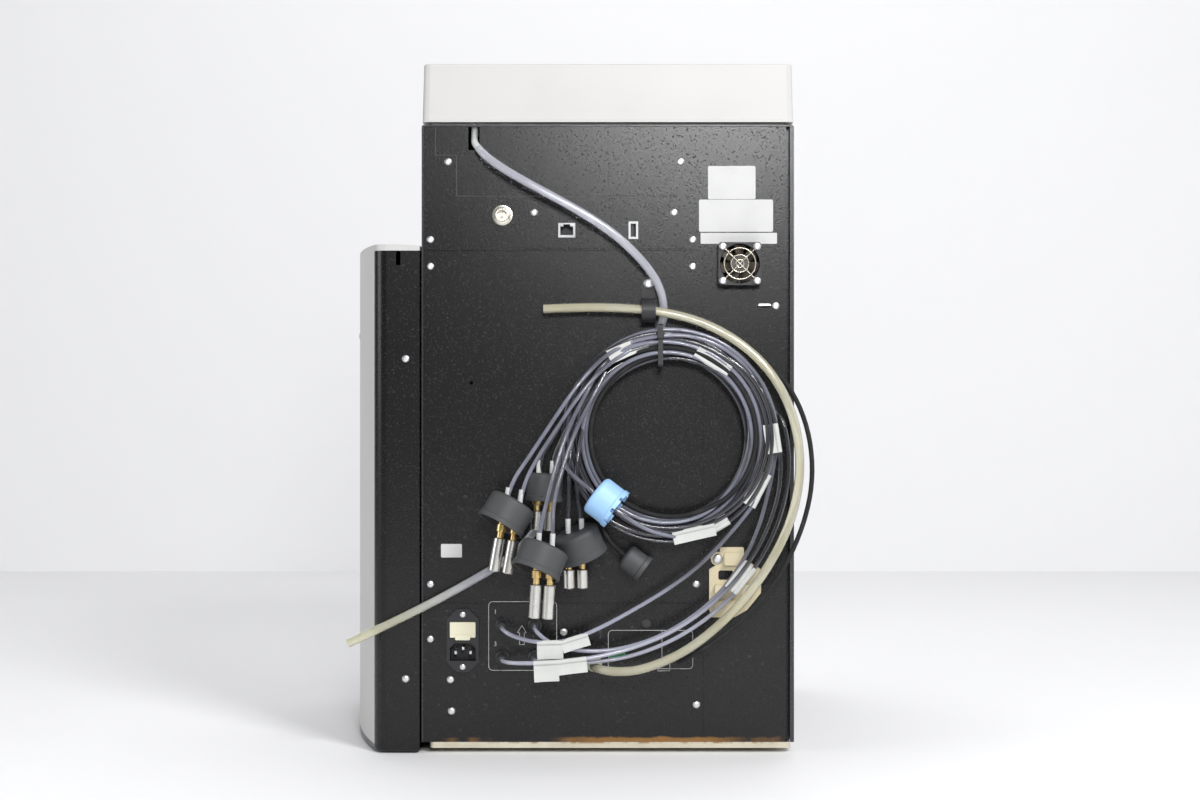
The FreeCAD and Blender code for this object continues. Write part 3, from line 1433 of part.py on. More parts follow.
def panel_screws():
    """All screws of the rear, the fan, the inlet, the clip and the module."""
    face = Y_REAR
    heads = []
    for x, z in access_screw_points():
        heads.append(screw(point(x, face, z), BACKWARD))
    for x, z in comms_screw_points():
        heads.append(screw(point(x, face + OVERLAY, z), BACKWARD))
    for x, z in fan_screw_points():
        heads.append(screw(point(x, face + FAN_DEPTH + GUARD_WIRE, z), BACKWARD, length=18.0))
    for x, z in inlet_screw_points():
        heads.append(screw(point(x, face + INLET_FLANGE, z), BACKWARD, head=2.9, length=7.0))
    for x, z in module_screw_points():
        heads.append(screw(point(x, MODULE_BACK, z), BACKWARD))
    heads.append(screw(point(CLIP_X, face + CLIP_STRAP, CLIP_SCREW_Z), BACKWARD, head=LARGE_HEAD, length=6.0))
    heads.append(screw(tab_point(face + BRACKET_PLATE), BACKWARD, head=LARGE_HEAD, length=8.0))
    return Part.makeCompound(heads)


def hole_plug():
    """Plain disc plug that closes the spare hole of the connection panel."""
    profile = [(0, -3.0), (2.8, -3.0), (2.8, 0), (4.4, 0), (4.4, 0.8), (3.6, 1.6), (0, 1.6)]
    return turned(profile, point(SPLIT_X + 53.6, Y_REAR, CONNECTION_TOP - 18.8), BACKWARD)


def module_outline(inset, z):
    """Plan outline of the column module, moved inwards by an inset."""
    back_radius = MODULE_BACK_CORNER - inset
    front_radius = MODULE_FRONT_CORNER - inset
    outer = MODULE_OUT - inset
    back = MODULE_BACK - inset
    front = MODULE_FRONT + inset
    inner = MODULE_IN + inset
    flare_radius = (MODULE_FLARE ** 2 + MODULE_FLARE_LENGTH ** 2) / (2 * MODULE_FLARE)
    lean = math.asin(MODULE_FLARE_LENGTH / flare_radius)
    corner_x = MODULE_BACK_OUT - MODULE_BACK_CORNER
    corner_y = MODULE_BACK - MODULE_BACK_CORNER
    end = point(
        corner_x + back_radius * math.cos(lean), corner_y + back_radius * math.sin(lean), z
    )
    middle_angle = (lean + math.pi / 2) / 2
    middle = point(
        corner_x + back_radius * math.cos(middle_angle),
        corner_y + back_radius * math.sin(middle_angle),
        z,
    )
    start = point(corner_x, back, z)
    wide_y = end.y - (flare_radius - inset) * math.sin(lean)
    shift = outer - (end.x + (flare_radius - inset) * (1 - math.cos(lean)))
    flare_middle = point(
        end.x + shift / 2 + (flare_radius - inset) * (math.cos(lean / 2) - math.cos(lean)),
        wide_y + (flare_radius - inset) * math.sin(lean / 2),
        z,
    )
    wide = point(outer, wide_y, z)
    diagonal = math.sqrt(0.5)
    turn_start = point(outer, front + front_radius, z)
    turn_middle = point(
        outer - front_radius * (1 - diagonal), front + front_radius * (1 - diagonal), z
    )
    turn_end = point(outer - front_radius, front, z)
    return [
        Part.LineSegment(point(inner, back, z), start).toShape(),
        Part.Arc(start, middle, end).toShape(),
        Part.Arc(end, flare_middle, wide).toShape(),
        Part.LineSegment(wide, turn_start).toShape(),
        Part.Arc(turn_start, turn_middle, turn_end).toShape(),
        Part.LineSegment(turn_end, point(inner, front, z)).toShape(),
        Part.LineSegment(point(inner, front, z), point(inner, back, z)).toShape(),
    ]


def module_prism(inset, low, high):
    return Part.Face(Part.Wire(module_outline(inset, low))).extrude(V(0, 0, high - low))


def module_seam_y():
    """Where the black back shell ends and the pale side cover starts."""
    return MODULE_BACK - MODULE_BACK_CORNER + 4.2


def module_ring():
    low = MODULE_CLEARANCE + MODULE_CAP
    high = MODULE_TOP - MODULE_CAP
    return module_prism(0, low, high).cut(module_prism(MODULE_WALL, low - 1, high + 1))


def module_back_shell():
    """Black body of the module: bottom, rounded corner, slotted back wall and bolted inner side."""
    ring = module_ring()
    behind = block((MODULE_IN - 1, MODULE_OUT + 1), (module_seam_y(), MODULE_BACK + 1), (0, MODULE_TOP))
    inner = block(
        (MODULE_IN - 1, MODULE_IN + MODULE_WALL), (MODULE_FRONT + 30, MODULE_BACK + 1), (0, MODULE_TOP)
    )
    shell = ring.common(fused([behind, inner]))
    slot_x = MODULE_IN + 20.0
    slot = block(about(slot_x, 4.2), (MODULE_BACK - 8, MODULE_BACK + 1), (MODULE_TOP - 19.6, MODULE_TOP))
    cutters = [slot]
    for x, z in module_screw_points():
        cutters.append(rod(point(x, MODULE_BACK - 8, z), BACKWARD, 16, SCREW_HOLE))
    shell = shell.cut(Part.makeCompound(cutters))
    pads = []
    for y in (MODULE_FRONT + 60, MODULE_BACK - 60):
        for z in (MODULE_CLEARANCE + 60, MODULE_TOP - 60):
            pads.append(rod(point(X_RIGHT, y, z), RIGHTWARD, MODULE_GAP + 1, 8.0))
    bottom = module_prism(0, MODULE_CLEARANCE, MODULE_CLEARANCE + MODULE_CAP)
    low_edges = [e for e in bottom.Edges if abs(e.BoundBox.ZMax - MODULE_CLEARANCE) < 1e-6]
    return fused([shell, bottom.makeChamfer(1.5, low_edges)] + pads)


def module_side_cover():
    """Pale moulded side: flares forward, turns the front corner and closes the front."""
    ring = module_ring()
    outer_side = block(
        (MODULE_IN + MODULE_WALL + FIT, MODULE_OUT + 1),
        (MODULE_FRONT - 1, module_seam_y() - FIT),
        (0, MODULE_TOP),
    )
    front_end = block((MODULE_IN, MODULE_OUT), (MODULE_FRONT - 1, MODULE_FRONT + 29), (0, MODULE_TOP))
    cover = ring.common(fused([outer_side, front_end]))
    start = point(MODULE_OUT - VALVE_DISH_DEPTH, VALVE_Y, VALVE_Z)
    well = rod(start, RIGHTWARD, VALVE_DISH_DEPTH + 2, VALVE_DISH)
    sleeve = rod(start - V(2, 0, 0), RIGHTWARD, VALVE_DISH_DEPTH + 1.2, VALVE_DISH + 2)
    sleeve = sleeve.common(module_prism(0.2, 0, MODULE_TOP))
    cover = fused([cover, sleeve]).cut(well)
    return cover.cut(rod(start - V(4, 0, 0), RIGHTWARD, 8, VALVE_STATOR + FIT))


def module_top_cap():
    """Crowned top of the module."""
    width = MODULE_OUT - MODULE_IN
    radius = (width / 2) ** 2 / (2 * MODULE_CROWN) + MODULE_CROWN / 2
    middle = MODULE_IN + width * 0.42
    top = module_prism(0, MODULE_TOP - MODULE_CAP, MODULE_TOP + MODULE_CROWN)
    barrel = rod(point(middle, MODULE_FRONT - 10, MODULE_TOP - radius), BACKWARD, CABINET_DEPTH, radius)
    return top.common(barrel)


def column_rail():
    """Extruded bar with a slot down its face, fixed to the front of the module."""
    half = RAIL_BAR_WIDTH / 2
    neck = RAIL_BAR_NECK / 2
    depth = RAIL_BAR_DEPTH
    groove = RAIL_BAR_GROOVE
    outline = [
        (-neck, 0),
        (-neck, -groove),
        (-half, -groove),
        (-half, -depth),
        (-2.5, -depth),
        (-2.5, -depth + 2.0),
        (2.5, -depth + 2.0),
        (2.5, -depth),
        (half, -depth),
        (half, -groove),
        (neck, -groove),
        (neck, 0),
    ]
    low = MODULE_CLEARANCE + RAIL_BAR_LIFT
    corners = [point(RAIL_BAR_X + x, MODULE_FRONT + y, low) for x, y in outline]
    return prism(corners, V(0, 0, RAIL_BAR_LENGTH))


def holder_body(z, opening_down):
    """Block hooked round the rail, with an arm and a cup for one end of the column."""
    width = HOLDER_WIDTH
    back = MODULE_FRONT - 1.2
    front = MODULE_FRONT - RAIL_BAR_DEPTH - 6.0
    body = soft_block(about(RAIL_BAR_X, width), (front, back), about(z, HOLDER_HEIGHT), 3.0, BACKWARD)
    head_room = block(
        about(RAIL_BAR_X, RAIL_BAR_WIDTH + 2 * FIT),
        (MODULE_FRONT - RAIL_BAR_DEPTH - FIT, MODULE_FRONT - RAIL_BAR_GROOVE + FIT),
        about(z, HOLDER_HEIGHT + 2),
    )
    neck_room = block(
        about(RAIL_BAR_X, RAIL_BAR_NECK + 2 * FIT),
        (MODULE_FRONT - RAIL_BAR_GROOVE - 2, back + 1),
        about(z, HOLDER_HEIGHT + 2),
    )
    body = body.cut(fused([head_room, neck_room]))
    cup_y = front - HOLDER_REACH + HOLDER_CUP
    arm = prism(
        [
            point(RAIL_BAR_X - 14, front + 0.5, z - 8),
            point(RAIL_BAR_X + 14, front + 0.5, z - 8),
            point(RAIL_BAR_X + 8, cup_y, z - 8),
            point(RAIL_BAR_X - 8, cup_y, z - 8),
        ],
        V(0, 0, 16),
    )
    sign = -1 if opening_down else 1
    axis = V(0, 0, sign)
    profile = [
        (2.0, -9.0),
        (HOLDER_CUP, -9.0),
        (HOLDER_CUP, 9.0),
        (HOLDER_CUP - 2.0, 12.0),
        (HOLDER_CUP - 3.0, 12.0),
        (HOLDER_CUP - 4.0, 2.0),
        (2.0, 0.0),
    ]
    cup = turned(profile, point(RAIL_BAR_X, cup_y, z), axis)
    hollow = rod(point(RAIL_BAR_X, cup_y, z), axis, 14, HOLDER_CUP - 4.5)
    arm = arm.cut(rod(point(RAIL_BAR_X, cup_y, z - 20), UP, 40, HOLDER_CUP - 0.5))
    return fused([body, arm, cup.cut(hollow)])


def lower_column_holder():
    """Fixed lower holder, its cup open to the top, with two clamping pads on the rail."""
    holder = holder_body(LOWER_HOLDER_Z, False)
    pads = []
    for side in (-1, 1):
        xs = sorted((RAIL_BAR_X + side * RAIL_BAR_WIDTH / 2, RAIL_BAR_X + side * (RAIL_BAR_WIDTH / 2 + 1)))
        pads.append(block(xs, (KNOB_Y - 1.5, KNOB_Y + 1.5), about(LOWER_HOLDER_Z, 20)))
    return fused([holder] + pads)


def upper_column_holder():
    """Sliding upper holder, its cup open to the bottom, bored for the clamp screw."""
    holder = holder_body(UPPER_HOLDER_Z, True)
    bore = rod(
        point(RAIL_BAR_X + RAIL_BAR_WIDTH / 2 - 1, KNOB_Y, UPPER_HOLDER_Z),
        RIGHTWARD,
        30,
        KNOB_SHAFT + RUNNING_FIT,
    )
    return holder.cut(bore)


def clamp_knob():
    """Fluted knob whose screw reaches almost to the rail."""
    start = RAIL_BAR_X + RAIL_BAR_WIDTH / 2 + FIT
    face = RAIL_BAR_X + HOLDER_WIDTH / 2 + FIT
    shaft = rod(point(start, KNOB_Y, UPPER_HOLDER_Z), RIGHTWARD, face - start + 1, KNOB_SHAFT)
    grip = rod(point(face, KNOB_Y, UPPER_HOLDER_Z), RIGHTWARD, KNOB_LENGTH, KNOB_RADIUS)
    grip = grip.makeFillet(1.2, [e for e in grip.Edges if e.CenterOfMass.x > face + 1 and e.Closed])
    flutes = []
    for index in range(10):
        angle = math.radians(36 * index)
        flutes.append(
            rod(
                point(
                    face - 1,
                    KNOB_Y + (KNOB_RADIUS + 1.0) * math.cos(angle),
                    UPPER_HOLDER_Z + (KNOB_RADIUS + 1.0) * math.sin(angle),
                ),
                RIGHTWARD,
                KNOB_LENGTH + 2,
                1.9,
            )
        )
    return fused([shaft, grip.cut(Part.makeCompound(flutes))])


def injection_valve():
    """Motor body inside the module, its stator in the dish, with two tube nuts."""
    dish = MODULE_OUT - VALVE_DISH_DEPTH
    profile = [
        (0, -VALVE_BODY_LENGTH),
        (VALVE_BODY, -VALVE_BODY_LENGTH),
        (VALVE_BODY, -2.0),
        (VALVE_STATOR, -2.0),
        (VALVE_STATOR, 3.0),
        (VALVE_STATOR - 1.0, 4.0),
        (0, 4.0),
    ]
    body = turned(profile, point(dish, VALVE_Y, VALVE_Z), RIGHTWARD)
    nuts = []
    for side in (-1, 1):
        nut = [(0, 3.5), (VALVE_NUT, 3.5), (VALVE_NUT, 9.0), (2.2, 10.5), (1.4, 12.0), (0, 12.0)]
        nuts.append(turned(nut, point(dish, VALVE_Y, VALVE_Z + side * LOOP_HEIGHT / 2 * 0.8), RIGHTWARD))
    return fused([body] + nuts)


def tube_run(name, points, radius):
    """Round tube on straight runs joined by tangent arcs; prints length, bends and volume."""
    edges = []
    start = points[0]
    tightest = 1e9
    for before, corner, after in zip(points, points[1:], points[2:]):
        inward = before - corner
        outward = after - corner
        setback = 0.45 * min(inward.Length, outward.Length)
        half_turn = (math.pi - inward.getAngle(outward)) / 2
        bend = setback / math.tan(half_turn)
        tightest = min(tightest, bend)
        inward.normalize()
        outward.normalize()
        first = corner + inward * setback
        last = corner + outward * setback
        inside = inward + outward
        inside.normalize()
        middle = corner + inside * (bend / math.cos(half_turn) - bend)
        edges.append(Part.LineSegment(start, first).toShape())
        edges.append(Part.Arc(first, middle, last).toShape())
        start = last
    edges.append(Part.LineSegment(start, points[-1]).toShape())
    path = Part.Wire(edges)
    section = Part.Wire(Part.makeCircle(radius, points[0], points[1] - points[0]))
    solid = path.makePipeShell([section], True, False)
    ratio = solid.Volume / (math.pi * radius ** 2 * path.Length)
    print(
        f"{name}: length {path.Length:.0f} mm, tightest bend {tightest / (2 * radius):.1f} diameters, "
        f"volume over section times length {ratio:.4f}"
    )
    return solid


def placed(values, x, z):
    """Points of a route, written as (x, distance behind the rear panels, z) from an anchor."""
    return [point(x + dx, Y_REAR + reach, z + dz) for dx, reach, dz in values]


def near_ports(values):
    return placed(values, PORT_X, PORT_Z)


def near_coil(values):
    return placed(values, COIL_X, COIL_Z)


def near_slot(values):
    return placed(values, SLOT_X, REAR_TOP)


def drain_points():
    return near_slot([
        (-5.3, 8.0, -21.5),
        (-10.1, 16.6, -27.8),
        (-26.4, 21, -40.0),
        (-48.4, 23, -53.0),
        (-75.4, 23, -67.5),
        (-104.4, 22, -83.5),
    ]) + near_coil([
        (49.9, 20.5, 189.4),
        (25.9, 18, 166.9),
        (9.4, 12.5, 144.9),
        (3.4, 8, 122.9),
        (5.9, 5.4, 100.9),
        (22.9, 5.2, 83.4),
        (50.9, 5.2, 67.9),
        (77.9, 5.2, 46.9),
        (93.9, 5.2, 16.9),
        (99.9, 5.2, -16.1),
        (105.9, 5.2, -50.1),
        (120.9, 5.2, -84.1),
        (145.9, 5.2, -112.1),
        (187.9, 8.5, -137.1),
        (242.9, 13, -166.1),
        (298.9, 16, -192.1),
    ])


def waste_points():
    return [point(WASTE_X, Y_REAR + PORT_REACH, WASTE_Z)] + near_ports([
        (-70.6, 29, -20.8),
        (-78.1, 42, -21.5),
        (-91.3, 49.5, -22.3),
        (-110.3, 50.5, -21.1),
        (-130.3, 50, -15.0),
        (-154.3, 48.5, -4.5),
    ]) + near_coil([
        (-39.1, 46.5, -177.6),
        (-65.1, 44, -153.1),
        (-93.1, 41.5, -116.6),
        (-114.6, 38.5, -72.6),
        (-122.6, 35.5, -26.1),
        (-116.1, 32, 21.4),
        (-95.1, 28, 62.4),
        (-64.1, 22, 90.9),
        (-28.1, 18.5, 109.4),
        (11.9, 17.5, 118.4),
        (46.9, 16.5, 120.9),
        (81.9, 15.5, 121.4),
        (116.5, 15, 119.9),
    ])


def tubing_coil():
    """Outer form of the wound solvent tubes: a ring with rounded edges."""
    near = Y_REAR + COIL_STANDOFF
    section = block(
        (COIL_X + COIL_INNER, COIL_X + COIL_OUTER), (near, near + COIL_THICKNESS), (COIL_Z - 1, COIL_Z)
    )
    section = section.makeFillet(6.0, edges_along(section, UP))
    top = [f for f in section.Faces if abs(f.CenterOfMass.z - COIL_Z) < 1e-6][0]
    return top.revolve(point(COIL_X, near, COIL_Z), BACKWARD, 360)


def port_end(index):
    x, z = port_points()[index]
    return point(x, Y_REAR + PORT_REACH, z)


def line_one_in():
    return [port_end(0)] + near_ports([
        (15.2, 24, 15.2),
        (11.7, 32.5, 12.8),
        (3.7, 38, 9.0),
        (-10.3, 40, 5.0),
        (-30.3, 40, 2.5),
        (-52.3, 38.5, 6.0),
        (-78.3, 36, 17.0),
    ]) + near_coil([
        (33.9, 34, -159.6),
        (3.9, 31, -142.1),
        (-25.1, 28.5, -122.1),
        (-49.1, 26.5, -98.1),
        (-61.1, 24.5, -76.1),
    ])


def line_two_in():
    return [port_end(1)] + near_ports([
        (-15.2, 23, 15.2),
        (-17.8, 30, 12.0),
        (-24.3, 34, 6.5),
        (-35.3, 35, 0.0),
        (-52.3, 35, -4.2),
        (-73.3, 34.5, -5.7),
        (-98.3, 33.5, -3.0),
    ]) + near_coil([
        (10.9, 32, -185.1),
        (-20.1, 30.5, -167.6),
        (-47.1, 28.5, -145.1),
        (-69.1, 26.5, -115.1),
        (-83.1, 25, -85.1),
        (-90.6, 22.5, -59.1),
        (-91.6, 20.5, -38.1),
    ])


def line_three_in():
    return [port_end(2)] + near_ports([
        (15.2, 24, -15.2),
        (11.2, 33, -15.5),
        (2.7, 40.5, -15.5),
        (-9.3, 45.5, -14.9),
        (-26.3, 47.5, -14.5),
        (-50.3, 47, -12.5),
        (-78.3, 45, -8.5),
    ]) + near_coil([
        (29.9, 42, -192.1),
        (-4.1, 40, -178.1),
        (-36.1, 38, -156.6),
        (-64.1, 35.5, -129.6),
        (-87.1, 32.5, -95.1),
        (-101.6, 28.5, -56.1),
        (-104.1, 24.5, -26.1),
        (-100.1, 21, -2.1),
    ])


def line_four_in():
    return [port_end(3)] + near_ports([
        (-15.2, 23, -15.2),
        (-18.8, 30.5, -14.9),
        (-26.3, 35.5, -14.6),
        (-38.3, 38, -15.1),
        (-57.3, 38.5, -15.5),
        (-82.3, 37.5, -14.0),
        (-112.3, 36, -8.0),
    ]) + near_coil([
        (-8.1, 34, -185.1),
        (-42.1, 31, -162.6),
        (-71.1, 28.5, -133.6),
        (-94.1, 26, -98.1),
        (-108.6, 24, -58.1),
        (-112.6, 21.5, -20.1),
        (-108.1, 20, 13.9),
        (-92.1, 19, 41.9),
    ])


def sensor_in():
    return [point(SENSOR_X, Y_REAR + 16.0, SENSOR_Z)] + near_ports([
        (-149.5, 27, -16.1),
        (-153.3, 35, -13.5),
        (-162.3, 39, -8.0),
        (-178.3, 38, 1.5),
    ]) + near_coil([
        (-61.1, 34, -174.1),
        (-85.1, 30.5, -151.1),
        (-107.6, 27, -120.6),
        (-125.6, 24.5, -81.1),
        (-134.6, 22.5, -40.1),
        (-131.6, 20, 3.9),
        (-116.1, 17.5, 43.9),
        (-91.1, 16, 70.9),
        (-54.1, 17, 83.9),
    ])


class Cap:
    """A cap's middle, its axis from closed top to open end, and the way its tubes hang."""

    def __init__(self, place, axis, hang, radius, height, filter_length=FILTER_LENGTH):
        self.middle = near_coil([place])[0]
        self.axis = unit(axis)
        self.hang = unit(hang)
        self.radius = radius
        self.height = height
        self.filter_length = filter_length
        self.top = self.middle - self.axis * (height / 2)
        self.roof = self.top + self.axis * (CAP_WALL + 1.0)

    def offsets(self):
        """Two places side by side, either side of the hanging line."""
        side = unit(self.hang.cross(BACKWARD))
        return [side * (PAIR_PITCH / 2), side * (-PAIR_PITCH / 2)]


def unit(vector):
    copy = V(vector)
    copy.normalize()
    return copy


def dark_caps():
    return [
        Cap((148.6, 50.0, -68.8), V(0.50, 0.22, -0.85), V(0.17, 0.05, -0.985), CAP_RADIUS, CAP_HEIGHT),
        Cap((117.0, 67.5, -109.0), V(0.38, 0.24, -0.89), V(0.06, 0.0, -1.0), CAP_RADIUS, CAP_HEIGHT),
        Cap(
            (83.1, 35.0, -97.8),
            V(-0.36, -0.20, -0.91),
            V(-0.02, -0.05, -1.0),
            CAP_RADIUS,
            CAP_HEIGHT,
            SHORT_FILTER_LENGTH,
        ),
        Cap(
            (114.9, 27.5, -45.6),
            V(0.05, 0.05, -1.0),
            V(0.05, 0.05, -1.0),
            SMALL_CAP_RADIUS,
            CAP_HEIGHT,
            SHORT_FILTER_LENGTH,
        ),
    ]


def boot_cap():
    return Cap((31.2, 22.0, -116.3), V(-0.80, 0.10, -0.59), V(-0.80, 0.10, -0.59), BOOT_RADIUS, BOOT_HEIGHT)


def threaded_cap():
    axis = V(-0.79, 0.12, -0.60)
    return Cap((58.2, 53.0, -57.6), axis, axis, BLUE_CAP_RADIUS, BLUE_CAP_HEIGHT)


def hollow_cap(cap):
    """Screw cap with a rounded top, a thin skirt and a bead round its rim."""
    profile = [
        (0, 0),
        (cap.radius - 0.8, 0),
        (cap.radius - 0.8, cap.height - 5.0),
        (cap.radius, cap.height - 4.0),
        (cap.radius, cap.height),
        (cap.radius - CAP_WALL, cap.height),
        (cap.radius - CAP_WALL, CAP_WALL + 1.0),
        (0, CAP_WALL + 1.0),
    ]
    shell = turned(profile, cap.top, cap.axis)
    rim = []
    for edge in shell.Edges:
        if edge.Closed and isinstance(edge.Curve, Part.Circle) and edge.Curve.Radius > cap.radius - 1.0:
            if edge.Curve.Center.distanceToPoint(cap.top) < 1e-6:
                rim.append(edge)
    return shell.makeFillet(CAP_ROUND, rim)


def bottle_caps():
    """Four dark caps, each bored for a pair of tubes, and the boot on the sensor cable."""
    shells = []
    for cap in dark_caps():
        shell = hollow_cap(cap)
        for offset in cap.offsets():
            start = cap.roof - cap.hang * 14.0 + offset
            shell = shell.cut(rod(start, cap.hang, 14.0 + FITTING_START, SOLVENT_TUBE + FIT))
        shells.append(shell)
    shells.append(hollow_cap(boot_cap()))
    return Part.makeCompound(shells)


def blue_cap():
    """Pale blue cap threaded on a tube, with teeth round its open rim."""
    cap = threaded_cap()
    shell = hollow_cap(cap)
    shell = shell.cut(rod(cap.top - cap.axis, cap.axis, 8.0, SOLVENT_TUBE + FIT))
    side = unit(cap.axis.cross(UP))
    gaps = []
    for index in range(BLUE_CAP_TEETH):
        notch = block((cap.radius - 5, cap.radius + 2), about(0, 4.0), (cap.height - 2.6, cap.height + 1))
        notch.rotate(V(0, 0, 0), UP, 360.0 * index / BLUE_CAP_TEETH)
        gaps.append(notch)
    gap_ring = Part.makeCompound(gaps)
    gap_ring.Placement = FreeCAD.Placement(cap.top, FreeCAD.Rotation(side, V(0, 0, 0), cap.axis, "ZXY"))
    return shell.cut(gap_ring)


def end_fittings():
    """Brass compression fittings, two below the roof of each dark cap."""
    parts = []
    for cap in dark_caps():
        for offset in cap.offsets():
            profile = [
                (0, 0),
                (3.4, 0),
                (3.4, FITTING_LENGTH - 13.0),
                (FITTING_RADIUS, FITTING_LENGTH - 12.4),
                (FITTING_RADIUS, FITTING_LENGTH - 6.0),
                (3.2, FITTING_LENGTH - 5.4),
                (3.2, FITTING_LENGTH),
                (0, FITTING_LENGTH),
            ]
            parts.append(turned(profile, cap.roof + cap.hang * FITTING_START + offset, cap.hang))
    return Part.makeCompound(parts)


def inlet_filters():
    """Sintered steel filters, one below each brass fitting."""
    parts = []
    for cap in dark_caps():
        length = cap.filter_length
        for offset in cap.offsets():
            profile = [
                (0, 0),
                (FILTER_RADIUS - 0.8, 0),
                (FILTER_RADIUS, 0.8),
                (FILTER_RADIUS, length - 0.8),
                (FILTER_RADIUS - 0.8, length),
                (0, length),
            ]
            start = cap.roof + cap.hang * (FITTING_START + FITTING_LENGTH) + offset
            parts.append(turned(profile, start, cap.hang))
    return Part.makeCompound(parts)


def line_leads():
    """Routes of the four tube pairs from inside the coil towards their caps, with half their spacing."""
    return [
        (V(2.2, 0, 2.9), near_coil([
            (37.4, 25, 84.0),
            (57.9, 33, 72.9),
            (81.9, 40, 46.9),
            (104.9, 44, 12.9),
            (125.9, 47, -19.1),
        ])),
        (V(2.6, 0, 2.5), near_coil([
            (61.1, 25, 63.3),
            (71.9, 36, 42.4),
            (88.9, 48, 9.9),
            (100.9, 56, -26.1),
            (108.9, 61, -58.1),
        ])),
        (V(3.5, 0, 0.8), near_coil([
            (81.9, 23, 16.9),
            (85.9, 31, -3.1),
            (88.9, 35, -28.1),
            (88.4, 36.5, -54.1),
        ])),
        (V(3.2, 0, 1.8), near_coil([
            (72.9, 23, 49.2),
            (82.4, 28, 34.9),
            (92.9, 30, 18.9),
            (104.9, 28, -4.1),
        ])),
    ]


def line_pair(number):
    """The two tubes of one line from the coil to the brass fittings of its cap."""
    spread, lead = line_leads()[number]
    cap = dark_caps()[number]
    pair = []
    for side, offset in zip((1, -1), cap.offsets()):
        path = [place + spread * side for place in lead]
        path.append(cap.roof - cap.hang * LEAD_STRAIGHT + offset)
        path.append(cap.roof + cap.hang * FITTING_START + offset)
        pair.append(path)
    return pair


def line_bridge():
    """Turn of the third line that comes out of the coil and runs through the blue cap."""
    cap = threaded_cap()
    return near_coil([
        (97.4, 22, -4.1),
        (98.4, 34, -15.1),
        (94.9, 45, -28.1),
        (80.3, 49.6, -40.8),
    ]) + [cap.middle + cap.axis * 4.0] + near_coil([
        (39.4, 55.8, -71.9),
        (23.9, 48, -82.1),
        (7.9, 36, -89.1),
        (-7.1, 24, -92.1),
    ])


def solvent_line(number):
    """One solvent line's free stretches: port to coil, and coil to the two cap fittings."""
    name = f"solvent_line_{number + 1}"
    way_in = (line_one_in, line_two_in, line_three_in, line_four_in)[number]()
    parts = [tube_run(name + " in", way_in, SOLVENT_TUBE)]
    for path in line_pair(number):
        parts.append(tube_run(name + " out", path, SOLVENT_TUBE))
    if number == 2:
        parts.append(tube_run(name + " through the blue cap", line_bridge(), SOLVENT_TUBE))
    return Part.makeCompound(parts)


def sensor_cable():
    """Black signal cable: plug to coil, and coil to the boot."""
    boot = boot_cap()
    stub = near_coil([
        (74.9, 22, -63.1),
        (65.9, 21, -77.6),
        (57.4, 20, -91.6),
    ]) + [boot.top - boot.axis * 12.0, boot.top]
    return Part.makeCompound([
        tube_run("sensor_cable in", sensor_in(), SENSOR_CABLE),
        tube_run("sensor_cable out", stub, SENSOR_CABLE),
    ])


def column_line():
    """Thin sample loop between the two nuts of the injection valve."""
    start = MODULE_OUT - VALVE_DISH_DEPTH + 12.0
    reach = 15.0
    high = VALVE_Z + LOOP_HEIGHT / 2 * 0.8
    low = VALVE_Z - LOOP_HEIGHT / 2 * 0.8
    return tube_run("column_line", [
        point(start, VALVE_Y, high),
        point(start + reach * 0.6, VALVE_Y, high),
        point(start + reach, VALVE_Y, VALVE_Z + 4),
        point(start + reach, VALVE_Y, VALVE_Z - 4),
        point(start + reach * 0.6, VALVE_Y, low),
        point(start, VALVE_Y, low),
    ], LOOP_TUBE)


def power_supply():
    """Vented supply on the floor pan, between the bay and the rear panels."""
    xs = (REAR_LEFT + 12, REAR_LEFT + 12 + SUPPLY_WIDTH)
    ys = (SERVICE_FRONT, Y_REAR - SUPPLY_REAR_SPACE)
    low = FOOT_HEIGHT + PAN_SHEET
    top = low + SUPPLY_HEIGHT
    case = soft_block(xs, ys, (low, top), 2.0, UP)
    vent_ys = (ys[0] + SERVICE_MARGIN, ys[1] - SERVICE_MARGIN)
    vents = []
    for index in range(VENT_COUNT):
        x = xs[0] + 20 + index * VENT_PITCH
        vents.append(soft_block(about(x, VENT_WIDTH), vent_ys, (top - 2, top + 1), 2.0, UP))
    return case.cut(Part.makeCompound(vents))


def control_board():
    """Circuit board on six standoffs over the bay liner, with its larger components."""
    width, depth, thickness = BOARD_SIZE
    low = BAY_TOP + SHEET
    xs = about(BAY_X - BOARD_OFFSET, width)
    ys = (Y_FRONT + BOARD_SETBACK, Y_FRONT + BOARD_SETBACK + depth)
    z = low + STANDOFF
    board = soft_block(xs, ys, (z, z + thickness), 3.0, UP)
    parts = [board]
    for x in (xs[0] + STANDOFF_INSET, (xs[0] + xs[1]) / 2, xs[1] - STANDOFF_INSET):
        for y in (ys[0] + STANDOFF_INSET, ys[1] - STANDOFF_INSET):
            parts.append(rod(point(x, y, low), UP, STANDOFF + 0.5, STANDOFF_RADIUS))
    top = z + thickness
    for right, rear, across, along, rise in BOARD_COMPONENTS:
        component_xs = (xs[0] + right, xs[0] + right + across)
        component_ys = (ys[0] + rear, ys[0] + rear + along)
        parts.append(block(component_xs, component_ys, (top - 0.2, top + rise)))
    return fused(parts)


